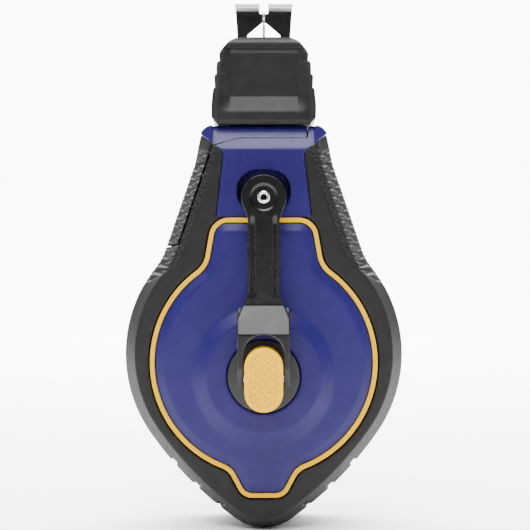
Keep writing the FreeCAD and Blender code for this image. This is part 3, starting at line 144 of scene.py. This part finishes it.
class Paint:
    """A Principled material whose colour, roughness and bump come from noise in the object's own space."""

    def __init__(self, name):
        self.material = bpy.data.materials.new(name)
        self.material.use_nodes = True
        self.tree = self.material.node_tree
        self.shader = self.tree.nodes["Principled BSDF"]
        self.coords = self.tree.nodes.new("ShaderNodeTexCoord").outputs["Object"]
        self.normal = None

    def node(self, kind, **values):
        made = self.tree.nodes.new(kind)
        for key, value in values.items():
            setattr(made, key, value)
        return made

    def link(self, source, target):
        self.tree.links.new(source, target)

    def noise(self, grain_mm, detail=2.0, rough=0.5, stretch=(1, 1, 1)):
        """Noise whose features are about grain_mm across."""
        mapping = self.node("ShaderNodeMapping")
        mapping.inputs["Scale"].default_value = stretch
        self.link(self.coords, mapping.inputs["Vector"])
        texture = self.node("ShaderNodeTexNoise")
        texture.inputs["Scale"].default_value = 1 / (grain_mm * MM)
        texture.inputs["Detail"].default_value = detail
        texture.inputs["Roughness"].default_value = rough
        self.link(mapping.outputs["Vector"], texture.inputs["Vector"])
        return texture.outputs["Fac"]

    def ramp(self, source, stops):
        made = self.node("ShaderNodeValToRGB")
        ramp = made.color_ramp
        while len(ramp.elements) < len(stops):
            ramp.elements.new(0.5)
        for element, (at, color) in zip(ramp.elements, stops):
            element.position = at
            element.color = (*color, 1)
        self.link(source, made.inputs["Fac"])
        return made.outputs["Color"]

    def span(self, source, low, high, into):
        made = self.node("ShaderNodeMapRange")
        made.inputs["From Min"].default_value = 0.25
        made.inputs["From Max"].default_value = 0.75
        made.inputs["To Min"].default_value = low
        made.inputs["To Max"].default_value = high
        self.link(source, made.inputs["Value"])
        self.link(made.outputs["Result"], into)

    def bump(self, source, height_mm, strength=1.0):
        made = self.node("ShaderNodeBump")
        made.inputs["Distance"].default_value = height_mm * MM
        made.inputs["Strength"].default_value = strength
        self.link(source, made.inputs["Height"])
        if self.normal:
            self.link(self.normal, made.inputs["Normal"])
        self.normal = made.outputs["Normal"]
        self.link(self.normal, self.shader.inputs["Normal"])

    def color(self, source, dark, light):
        self.link(self.ramp(source, [(0.3, dark), (0.7, light)]), self.shader.inputs["Base Color"])

    def set(self, **values):
        for key, value in values.items():
            self.shader.inputs[key.replace("_", " ")].default_value = value


def floor_paper():
    paint = Paint("floor_paper")
    paint.color(paint.noise(60, 3), (0.93, 0.93, 0.93), (0.96, 0.96, 0.96))
    paint.span(paint.noise(8), 0.85, 0.95, paint.shader.inputs["Roughness"])
    return paint.material


def moulded(name, dark, light, grain, height, rough_low, rough_high, blotch=6.0):
    """Spark-textured moulded plastic: a fine pebble grain and slow changes of tone."""
    paint = Paint(name)
    paint.color(paint.noise(blotch, 3), dark, light)
    paint.span(paint.noise(grain * 3), rough_low, rough_high, paint.shader.inputs["Roughness"])
    paint.bump(paint.noise(grain, 3, 0.6), height)
    return paint


def metal(name, dark, light, rough_low, rough_high, scratch=(1, 1, 14)):
    paint = Paint(name)
    paint.color(paint.noise(0.9, 3, 0.6, scratch), dark, light)
    paint.span(paint.noise(0.5, 4, 0.6, scratch), rough_low, rough_high, paint.shader.inputs["Roughness"])
    paint.bump(paint.noise(0.35, 3, 0.6, scratch), 0.004)
    paint.set(Metallic=1.0)
    return paint


def fibre(name, dark, light, pitch):
    """Twisted or felted fibres."""
    paint = Paint(name)
    wave = paint.node("ShaderNodeTexWave")
    wave.inputs["Scale"].default_value = 0.3 / (pitch * MM)
    wave.inputs["Distortion"].default_value = 3
    wave.inputs["Detail"].default_value = 3
    paint.link(paint.coords, wave.inputs["Vector"])
    paint.color(wave.outputs["Fac"], dark, light)
    paint.bump(wave.outputs["Fac"], 0.15 * pitch)
    paint.set(Roughness=0.95)
    return paint


def blue_abs():
    paint = moulded("blue_abs", (0.0085, 0.0048, 0.068), (0.0115, 0.0066, 0.080), 0.26, 0.05, 0.3, 0.42)
    paint.set(Specular_IOR_Level=0.24)
    return paint


def black_tpe():
    paint = moulded("black_tpe", (0.004, 0.0036, 0.004), (0.007, 0.0064, 0.007), 0.28, 0.045, 0.42, 0.56)
    paint.set(Specular_IOR_Level=0.24)
    return paint


def yellow_trim():
    paint = moulded("yellow_trim", (0.56, 0.31, 0.0), (0.61, 0.34, 0.0), 0.5, 0.006, 0.34, 0.46)
    paint.set(Specular_IOR_Level=0.1)
    return paint


def yellow_button():
    paint = moulded("yellow_button", (0.72, 0.38, 0.0), (0.78, 0.41, 0.0), 0.4, 0.006, 0.36, 0.48)
    paint.set(Specular_IOR_Level=0.1)
    return paint


def black_steel():
    paint = moulded("black_steel", (0.002, 0.002, 0.0022), (0.0032, 0.0032, 0.0035), 2.5, 0.0004, 0.26, 0.3)
    paint.set(Specular_IOR_Level=0.36)
    return paint


def black_nylon():
    return moulded("black_nylon", (0.004, 0.004, 0.0045), (0.007, 0.007, 0.008), 0.3, 0.02, 0.35, 0.5)


def grey_nylon():
    return moulded("grey_nylon", (0.24, 0.25, 0.27), (0.3, 0.31, 0.33), 0.4, 0.02, 0.4, 0.55)


def white_acetal():
    return moulded("white_acetal", (0.72, 0.72, 0.68), (0.8, 0.8, 0.77), 0.4, 0.01, 0.3, 0.42)


def zinc_steel():
    return metal("zinc_steel", (0.58, 0.58, 0.60), (0.72, 0.72, 0.73), 0.2, 0.34)


def bronze():
    return metal("bronze", (0.42, 0.27, 0.12), (0.55, 0.38, 0.18), 0.3, 0.45, (1, 8, 1))


def foam():
    return moulded("foam", (0.05, 0.05, 0.05), (0.09, 0.09, 0.09), 0.5, 0.15, 0.85, 0.95)


def chalked_line():
    return fibre("chalked_line", (0.42, 0.47, 0.68), (0.7, 0.73, 0.84), 1.1)


def felt():
    return fibre("felt", (0.4, 0.4, 0.41), (0.58, 0.58, 0.58), 0.7)


MAKERS = {
    "shell_blue": blue_abs, "grip_black": black_tpe, "trim_yellow": yellow_trim,
    "button_yellow": yellow_button, "steel_black": black_steel, "steel_bright": zinc_steel,
    "hub_black": black_nylon, "spool_grey": grey_nylon, "gear_white": white_acetal, "bronze": bronze,
    "line_white": chalked_line, "felt_grey": felt, "seal_foam": foam,
}
PAINTS = {slot: maker().material for slot, maker in MAKERS.items()}


def dress_nodes():
    """Gives each CAD node its finished material."""
    for name, obj in frame["nodes"].items():
        obj.data.materials.clear()
        obj.data.materials.append(PAINTS[NODE_SLOT[name]])


# ---------------------------------------------------------------- mesh helpers


def place(point):
    x, depth, z = point
    return (x * MM, -depth * MM, z * MM)


def add_piece(name, mesh, node, material=None, smooth=32.0):
    """A finished mesh that stands for a CAD node and rides on its body."""
    piece = bpy.data.objects.new(name, mesh)
    bpy.context.scene.collection.objects.link(piece)
    mesh.materials.clear()
    mesh.materials.append(material or PAINTS[NODE_SLOT[node]])
    mesh.shade_smooth()
    mesh.set_sharp_from_angle(angle=math.radians(smooth))
    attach(piece, NODE_BODY[node])
    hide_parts(node)
    return piece


def tidy(bm):
    bmesh.ops.remove_doubles(bm, verts=bm.verts, dist=1e-6)
    bmesh.ops.recalc_face_normals(bm, faces=bm.faces)


def finished(name, bm):
    tidy(bm)
    mesh = bpy.data.meshes.new(name)
    bm.to_mesh(mesh)
    bm.free()
    return mesh


def loft(bm, rings, closed_rings=True, caps=True, loop=False):
    """Quads between rings of points of one length. loop joins the last ring to the first."""
    rows = [[bm.verts.new(place(p)) for p in ring] for ring in rings]
    count = len(rows[0])
    last = count if closed_rings else count - 1
    pairs = list(zip(rows, rows[1:]))
    if loop:
        pairs.append((rows[-1], rows[0]))
    for one, two in pairs:
        for i in range(last):
            k = (i + 1) % count
            bm.faces.new((one[i], one[k], two[k], two[i]))
    if caps and not loop:
        bm.faces.new(rows[0])
        bm.faces.new(list(reversed(rows[-1])))
    return rows


def arc_points(cx, cz, radius, start, end, count):
    """Points on an arc, angles in degrees."""
    angles = [math.radians(start + (end - start) * i / count) for i in range(count + 1)]
    return [(cx + radius * math.cos(a), cz + radius * math.sin(a)) for a in angles]


# ---------------------------------------------------------------- outlines


def outside_blend(start, along, side, blend, hub, radius):
    """Centre of the arc that is tangent to a line and, from outside, to a circle."""
    reach = start + side * blend - hub
    dot = reach.dot(along)
    rest = reach.dot(reach) - (radius + blend) ** 2
    return start + side * blend + along * (-dot - math.sqrt(dot * dot - rest))


def angle_of(vector):
    return math.degrees(math.atan2(vector.y, vector.x))


def silhouette_half():
    """The right half of the housing's outline, from the top's middle to the tip."""
    drum, tip = Vector((0, DRUM_Z)), Vector((0, TIP_Z + TIP_R))
    bend = Vector((28.2, 86.0))
    lean, shoulder, waist_r, jaw_r = 19.0, 5.6, 26.0, 145.0
    outward = Vector((math.cos(math.radians(lean)), math.sin(math.radians(lean))))
    down = Vector((outward.y, -outward.x))
    waist = outside_blend(bend, down, outward, waist_r, drum, DRUM_R)
    near, far = jaw_r - DRUM_R, jaw_r - TIP_R
    apart = (drum - tip).length
    rise = (apart ** 2 + far ** 2 - near ** 2) / (2 * apart)
    jaw = tip + Vector((-math.sqrt(far ** 2 - rise ** 2), rise))
    path = [(0, NECK_TOP)]
    path += arc_points(20.3, NECK_TOP - shoulder, shoulder, 90, 11, 8)
    path.append(tuple(bend))
    path += arc_points(waist.x, waist.y, waist_r, 180 + lean, 360 + angle_of(drum - waist), 16)
    path += arc_points(0, DRUM_Z, DRUM_R, angle_of(waist - drum), angle_of(drum - jaw), 60)
    path += arc_points(jaw.x, jaw.y, jaw_r, angle_of(drum - jaw), angle_of(tip - jaw), 20)
    path += arc_points(0, tip.y, TIP_R, angle_of(tip - jaw), -90, 14)
    return path


# ---------------------------------------------------------------- moulded and rolled shapes


def rounded_copy(node, voxel, passes):
    """The CAD node's shape with its edges rounded, as an even mesh that can be pressed."""
    holder = bpy.data.objects.new("holder", frame["nodes"][node].data.copy())
    bpy.context.scene.collection.objects.link(holder)
    remesh = holder.modifiers.new("even", "REMESH")
    remesh.mode = "VOXEL"
    remesh.voxel_size = voxel * MM
    relax = holder.modifiers.new("relax", "SMOOTH")
    relax.factor = 0.5
    relax.iterations = passes
    depsgraph = bpy.context.evaluated_depsgraph_get()
    mesh = bpy.data.meshes.new_from_object(holder.evaluated_get(depsgraph))
    bpy.data.objects.remove(holder)
    return mesh


def pressed(mesh, press):
    """Moves each vertex, given in part millimetres with its normal, to where press says."""
    normals_now = [vertex.normal.copy() for vertex in mesh.vertices]
    for vertex, normal in zip(mesh.vertices, normals_now):
        x, y, z = vertex.co / MM
        moved = press(x, -y, z, normal)
        if moved:
            vertex.co = place(moved)
    mesh.update()


def moulded_piece(node, voxel=0.5, passes=3, press=None, material=None):
    mesh = rounded_copy(node, voxel, passes)
    if press:
        pressed(mesh, press)
    return add_piece(node + "_shape", mesh, node, material, smooth=180)


def ease(value):
    """0 below 0, 1 above 1 and smooth between."""
    value = min(max(value, 0.0), 1.0)
    return value * value * (3 - 2 * value)


def diamond(u, v, width, height, groove):
    """1 on a raised diamond and 0 in the grooves round it."""
    a = (u / width + v / height) % 1.0
    b = (u / width - v / height) % 1.0
    edge = min(a, 1 - a, b, 1 - b)
    return ease(edge / groove)


def flank_x(z):
    """The housing's half-width at a height, in the neck."""
    for (x0, z0), (x1, z1) in zip(OUTLINE, OUTLINE[1:]):
        if z1 <= z <= z0 and z0 != z1:
            return x0 + (x1 - x0) * (z0 - z) / (z0 - z1)
    return 0.0


OUTLINE = silhouette_half()
KNURL_HIGH, KNURL_LOW = 92.0, 36.0
KNURL_DEEP, KNURL_WIDE, KNURL_TALL, KNURL_GROOVE = 0.5, 2.1, 3.4, 0.36
KNURL_REACH = 8.6  # how far in from the silhouette the pattern runs on the front
KNURL_SLOPE = 0.9  # how much higher its ragged lower end is for each mm inwards
KNURL_FADE = 1.2
KNURL_BACK = 4.5
NECK_SLANT, NECK_TOP_SLANT, NECK_BEND_Z = 0.33, 0.1, 86


def knurl(x, depth, z, normal):
    """The diamond grip pattern on the neck's flanks, front and sides."""
    if not KNURL_LOW - 6 < z < KNURL_HIGH + 1:
        return None
    inside = flank_x(z) - abs(x)
    if inside > KNURL_REACH:
        return None
    low = KNURL_LOW + KNURL_SLOPE * inside
    share = ease((z - low) / KNURL_FADE) * ease((KNURL_HIGH - z) / KNURL_FADE)
    share *= ease((KNURL_REACH - inside) / 0.8) * ease(depth - KNURL_BACK)
    if share <= 0:
        return None
    slant = NECK_SLANT if z < NECK_BEND_Z else NECK_TOP_SLANT
    along = z * math.sqrt(1 + slant * slant)
    across = inside - (depth - DEPTH)
    push = KNURL_DEEP * share * (1 - diamond(across, along, KNURL_WIDE, KNURL_TALL, KNURL_GROOVE))
    return (x - normal.x * push, depth + normal.y * push, z - normal.z * push)


NOTCHES = ((37.0, -36.0), (27.3, -45.0), (17.6, -52.5))
NOTCH_RADIUS, NOTCH_DEEP, NOTCH_DEPTH, NOTCH_HALF = 2.0, 0.9, 30, 9


def grip_marks(x, depth, z, normal):
    """The knurl and the small notches on the lower flanks."""
    moved = knurl(x, depth, z, normal)
    if moved:
        return moved
    if z < -30:
        for at_x, at_z in NOTCHES:
            away = math.hypot(abs(x) - at_x, z - at_z)
            if away < NOTCH_RADIUS and abs(depth - NOTCH_DEPTH) < NOTCH_HALF:
                push = NOTCH_DEEP * ease(NOTCH_RADIUS - away)
                return (x - normal.x * push, depth + normal.y * push, z - normal.z * push)
    return None


CAP_FRONT, CAP_BACK = 38.5, 3.5
CAP_WIDTHS = (
    (101.4, 20.9), (103.5, 21.3), (110, 21.4), (115.7, 20.8), (120.7, 20.6), (123.2, 20.0), (125.8, 19.7),
    (128.0, 18.7), (131.0, 18.5), (133.3, 18.1), (135.8, 16.6), (137.9, 14.4),
)
CAP_RIDGES = (127.8, 122.2, 116.6)
RIDGE_TALL, RIDGE_DEEP, RIDGE_INNER, RIDGE_TOP = 4.6, 0.75, 14, 133
CAP_EDGE, CAP_EDGE_DROP = 3.2, 1.9
SHOULDER_LOW, SHOULDER_TALL, SHOULDER_SHARE = 131, 7.2, 0.22
FOOT_TOP, FOOT_TALL, FOOT_DROP = 104, 1.6, 0.5
THUMB_LOW, THUMB_HIGH, THUMB_HALF, THUMB_DEEP = 107.0, 135.2, 18.4, 3.3
THUMB_RAMP, THUMB_LIP, THUMB_FLANK = 6.6, 1.6, 4.6


def clipped(value):
    return min(max(value, 0.0), 1.0)


def at_height(table, z):
    for (z0, w0), (z1, w1) in zip(table, table[1:]):
        if z0 <= z <= z1:
            return w0 + (w1 - w0) * (z - z0) / (z1 - z0)
    return table[0][1] if z < table[0][0] else table[-1][1]


def ridge_step(z):
    """How far a height is below its side ridge's crest, from 0 to 1."""
    if not CAP_RIDGES[-1] <= z < RIDGE_TOP:
        return 0.0
    return clipped(max(1 - (z - ridge) / RIDGE_TALL for ridge in CAP_RIDGES if z >= ridge))


def cap_press(x, depth, z, normal):
    """The nose cap's thumb scoop, stepped sides and rounded shoulders."""
    limit = at_height(CAP_WIDTHS, z)
    new_x = x if abs(x) < 13 else math.copysign(min(abs(x), limit), x)
    if abs(x) > RIDGE_INNER:
        new_x -= math.copysign(RIDGE_DEEP * ridge_step(z) * ease((abs(x) - RIDGE_INNER) / 4), x)
    middle = (CAP_FRONT + CAP_BACK) / 2
    half = (CAP_FRONT - CAP_BACK) / 2
    if z > SHOULDER_LOW:
        half *= 1 - SHOULDER_SHARE * ease((z - SHOULDER_LOW) / SHOULDER_TALL)
    if z < FOOT_TOP:
        half -= FOOT_DROP * ease((FOOT_TOP - z) / FOOT_TALL)
    new_depth = min(max(depth, middle - half), middle + half)
    drop = CAP_EDGE_DROP * ease((abs(new_x) - (limit - CAP_EDGE)) / CAP_EDGE)
    if new_depth <= middle:
        return (new_x, max(new_depth, middle - half + drop), z)
    new_depth = min(new_depth, middle + half - drop)
    if 106.5 < z < 135.5 and depth > CAP_FRONT - 4.2 and abs(x) < 18.6:
        rise = clipped((z - THUMB_LOW) / THUMB_RAMP) * clipped((THUMB_HIGH - z) / THUMB_LIP)
        floor = middle + half - THUMB_DEEP * rise * clipped((THUMB_HALF - abs(x)) / THUMB_FLANK)
        new_depth = min(new_depth, floor)
    return (new_x, new_depth, z)


ARM_FRONT = DEPTH + 14.0
PIN_Z = 71.3
DISH_RADIUS, DISH_DEEP = 5.7, 0.45
CHANNEL_INNER, CHANNEL_OUTER, CHANNEL_DEEP = 3.2, 5.6, 0.75
CHANNEL_LOW, CHANNEL_HIGH, CHANNEL_RUN = 31.5, 64.5, 4.0


def arm_press(x, depth, z, normal):
    """The arm's raised rib between side channels, and the dish round its rivet."""
    if depth < ARM_FRONT - 1.1:
        return None
    dish = ease((DISH_RADIUS - math.hypot(x, z - PIN_Z)) / 1.2)
    channel = ease((abs(x) - CHANNEL_INNER) / 0.8) * ease((CHANNEL_OUTER - abs(x)) / 0.7)
    channel *= ease((z - CHANNEL_LOW) / CHANNEL_RUN) * ease((CHANNEL_HIGH - z) / CHANNEL_RUN)
    sink = max(DISH_DEEP * dish, CHANNEL_DEEP * channel)
    if sink <= 0:
        return None
    return (x, depth - sink, z)


BUTTON_HALF_X, BUTTON_HALF_Z, BUTTON_BORDER = 7.55, 12.6, 1.7
GRAIN_WIDE, GRAIN_TALL, GRAIN_DEEP, GRAIN_GROOVE = 3.9, 2.75, 0.5, 0.24
BUTTON_CAP_DEPTH = 58.5
BUTTON_DOME, BUTTON_DOME_REACH = 0.35, 1.9


def button_press(x, depth, z, normal):
    """The raised diamonds on the button's cap and its smooth border."""
    if depth < BUTTON_CAP_DEPTH or normal.y > -0.2:
        return None
    end = max(abs(z) - (BUTTON_HALF_Z - BUTTON_HALF_X), 0.0)
    inside = BUTTON_HALF_X - math.hypot(x, end)
    dome = BUTTON_DOME * ease((BUTTON_DOME_REACH - inside) / BUTTON_DOME_REACH)
    groove = 1 - diamond(x, z, GRAIN_WIDE, GRAIN_TALL, GRAIN_GROOVE)
    sink = dome + ease((inside - BUTTON_BORDER) / 0.5) * GRAIN_DEEP * groove
    return (x, depth - sink, z)


BEVEL_LOW, BEVEL_SLOPE, BEVEL_HALF, BEVEL_BACK = 91.6, 0.68, 21, 37


def crown_bevel(x, depth, z, normal):
    """The neck face's bevel at the top."""
    if z > BEVEL_LOW and depth > BEVEL_BACK and abs(x) < BEVEL_HALF:
        return (x, min(depth, DEPTH - BEVEL_SLOPE * (z - BEVEL_LOW)), z)
    return None


LIP_BLACK, LIP_BRIGHT = 151.0, 151.4  # heights between which the hook's finish changes


def black_to_bright():
    """Blackened sheet with its top lips worn to bright zinc."""
    paint = Paint("hook_sheet")
    height = paint.node("ShaderNodeSeparateXYZ")
    paint.link(paint.coords, height.inputs["Vector"])
    edge = paint.node("ShaderNodeMapRange")
    edge.inputs["From Min"].default_value = LIP_BLACK * MM
    edge.inputs["From Max"].default_value = LIP_BRIGHT * MM
    paint.link(height.outputs["Z"], edge.inputs["Value"])
    blend = paint.node("ShaderNodeMix")
    blend.data_type = "RGBA"
    paint.link(edge.outputs["Result"], blend.inputs["Factor"])
    grain = paint.noise(0.8, 3)
    black = paint.ramp(grain, [(0.3, (0.010, 0.009, 0.009)), (0.7, (0.018, 0.016, 0.016))])
    bright = paint.ramp(grain, [(0.3, (0.78, 0.78, 0.78)), (0.7, (0.9, 0.9, 0.9))])
    paint.link(black, blend.inputs["A"])
    paint.link(bright, blend.inputs["B"])
    paint.link(blend.outputs["Result"], paint.shader.inputs["Base Color"])
    paint.span(paint.noise(0.5, 4), 0.28, 0.42, paint.shader.inputs["Roughness"])
    paint.bump(paint.noise(0.4, 3), 0.006)
    paint.set(Metallic=0.55)
    return paint.material


RIVET_BORE, RIVET_SHANK, RIVET_HEAD, RIVET_FOOT, BORE_DEEP = 1.25, 1.9, 2.42, 4.1, 3.2


def zinc_painted_bore_shade():
    """Bright zinc with painted shade: near-black inside the rivet's bore radius, where the hole lies in
    shadow.
    """
    paint = Paint("zinc_painted_bore_shade")
    offset = paint.node("ShaderNodeVectorMath", operation="MULTIPLY_ADD")
    offset.inputs[1].default_value = (1, 0, 1)
    offset.inputs[2].default_value = (0, 0, -PIN_Z * MM)
    paint.link(paint.coords, offset.inputs[0])
    radius = paint.node("ShaderNodeVectorMath", operation="LENGTH")
    paint.link(offset.outputs["Vector"], radius.inputs[0])
    edge = paint.node("ShaderNodeMapRange")
    edge.inputs["From Min"].default_value = (RIVET_BORE + 0.03) * MM
    edge.inputs["From Max"].default_value = (RIVET_BORE + 0.15) * MM
    edge.inputs["To Min"].default_value = 0.02
    edge.inputs["To Max"].default_value = 1.0
    paint.link(radius.outputs["Value"], edge.inputs["Value"])
    blend = paint.node("ShaderNodeMix")
    blend.data_type = "RGBA"
    # painted shade: near-black inside the bore, standing in for the shadow down the hole
    blend.inputs["A"].default_value = (0.01, 0.01, 0.01, 1)
    paint.link(edge.outputs["Result"], blend.inputs["Factor"])
    bright = paint.ramp(paint.noise(0.9, 3), [(0.3, (0.6, 0.6, 0.61)), (0.7, (0.74, 0.74, 0.75))])
    paint.link(bright, blend.inputs["B"])
    paint.link(blend.outputs["Result"], paint.shader.inputs["Base Color"])
    paint.span(paint.noise(0.5, 4), 0.22, 0.36, paint.shader.inputs["Roughness"])
    paint.bump(paint.noise(0.35, 3), 0.003)
    paint.set(Metallic=1.0)
    return paint.material


def lathe(name, profile, node, axis_z=0.0, steps=96, material=None):
    """A round piece from (radius, depth) points, about a fore-and-aft axis at axis_z."""
    bm = bmesh.new()
    rings = []
    for radius, depth in profile:
        rings.append([
            (radius * math.cos(a), depth, axis_z + radius * math.sin(a))
            for a in (2 * math.pi * i / steps for i in range(steps))
        ])
    loft(bm, rings, caps=False, loop=True)
    return add_piece(name, finished(name, bm), node, material, smooth=40)


def knob():
    """The winding knob: a waisted barrel with a rolled front lip, bored for its rivet."""
    low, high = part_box("crank_knob")
    back, front = -high[1] / MM, -low[1] / MM
    radius, bore = (high[0] - low[0]) / 2 / MM - 0.02, 1.95
    lip, waist, steps = 1.4, 0.9, 14
    span = front - back - 2 * lip
    profile = [(bore, back), (radius - 1.6, back), (radius - 0.6, back + 0.4), (radius, back + lip)]
    profile += [
        (radius - waist * math.sin(math.pi * i / steps), back + lip + span * i / steps)
        for i in range(1, steps)
    ]
    profile += [(radius, front - lip), (radius - 0.5, front - 0.4), (radius - 1.6, front), (bore, front)]
    lathe("crank_knob_shape", profile, "crank_knob", PIN_Z)


def rivet():
    """The hollow rivet: a rolled front rim round a bore whose dark is painted shade."""
    low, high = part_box("knob_rivet")
    back, front = -high[1] / MM, -low[1] / MM
    foot = min((high[0] - low[0]) / 2 / MM - 0.02, RIVET_FOOT)
    profile = [
        (RIVET_BORE, front - BORE_DEEP), (RIVET_BORE, front - 0.35), (1.5, front - 0.08),
        (1.85, front - 0.02), (2.2, front - 0.12), (RIVET_HEAD, front - 0.38), (RIVET_HEAD, front - 0.5),
        (RIVET_SHANK, front - 0.56), (RIVET_SHANK, back + 0.9), (foot, back + 0.9), (foot, back),
        (0.001, back), (0.001, front - BORE_DEEP),
    ]
    lathe("knob_rivet_shape", profile, "knob_rivet", PIN_Z, 64, zinc_painted_bore_shade())


def button_spring():
    """The button's return spring, a coil from its seat to its top."""
    low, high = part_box("button_spring")
    wire, turns, steps, sides = 0.43, 4.5, 200, 12
    radius = (high[0] - low[0]) / 2 / MM - wire - 0.02
    seat, top = -high[1] / MM, -low[1] / MM
    rings = []
    for i in range(steps + 1):
        around = 2 * math.pi * turns * i / steps
        depth = seat + wire + 0.01 + (top - seat - 2 * wire - 0.02) * i / steps
        rings.append([
            ((radius + wire * math.cos(b)) * math.cos(around), depth + wire * math.sin(b),
             (radius + wire * math.cos(b)) * math.sin(around))
            for b in (2 * math.pi * k / sides for k in range(sides))
        ])
    bm = bmesh.new()
    loft(bm, rings)
    coil = finished("button_spring_shape", bm)
    piece = add_piece("button_spring_shape", coil, "button_spring", smooth=60)
    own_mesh(piece)


# node, mesh size (mm), rounding passes and what is pressed into it
MOULDED = (
    ("front_grip", 0.36, 2, grip_marks), ("lid_grip", 0.3, 2, knurl), ("rear_grip", 0.6, 3, grip_marks),
    ("front_shell", 0.6, 2, crown_bevel), ("fill_lid", 0.45, 2, crown_bevel), ("rear_shell", 0.8, 2, None),
    ("gear_cover", 0.55, 2, None), ("cover_trim", 0.26, 3, None), ("nose_cap", 0.42, 3, cap_press),
    ("crank_arm", 0.28, 3, arm_press), ("release_button", 0.24, 3, button_press),
)


def build_pieces():
    button_spring()
    for node, voxel, passes, press in MOULDED:
        moulded_piece(node, voxel, passes, press)
    moulded_piece("hook", 0.22, 3, None, black_to_bright())
    knob()
    rivet()


# ---------------------------------------------------------------- finish

add_camera()
add_lights()
add_floor()
dress_nodes()
build_pieces()
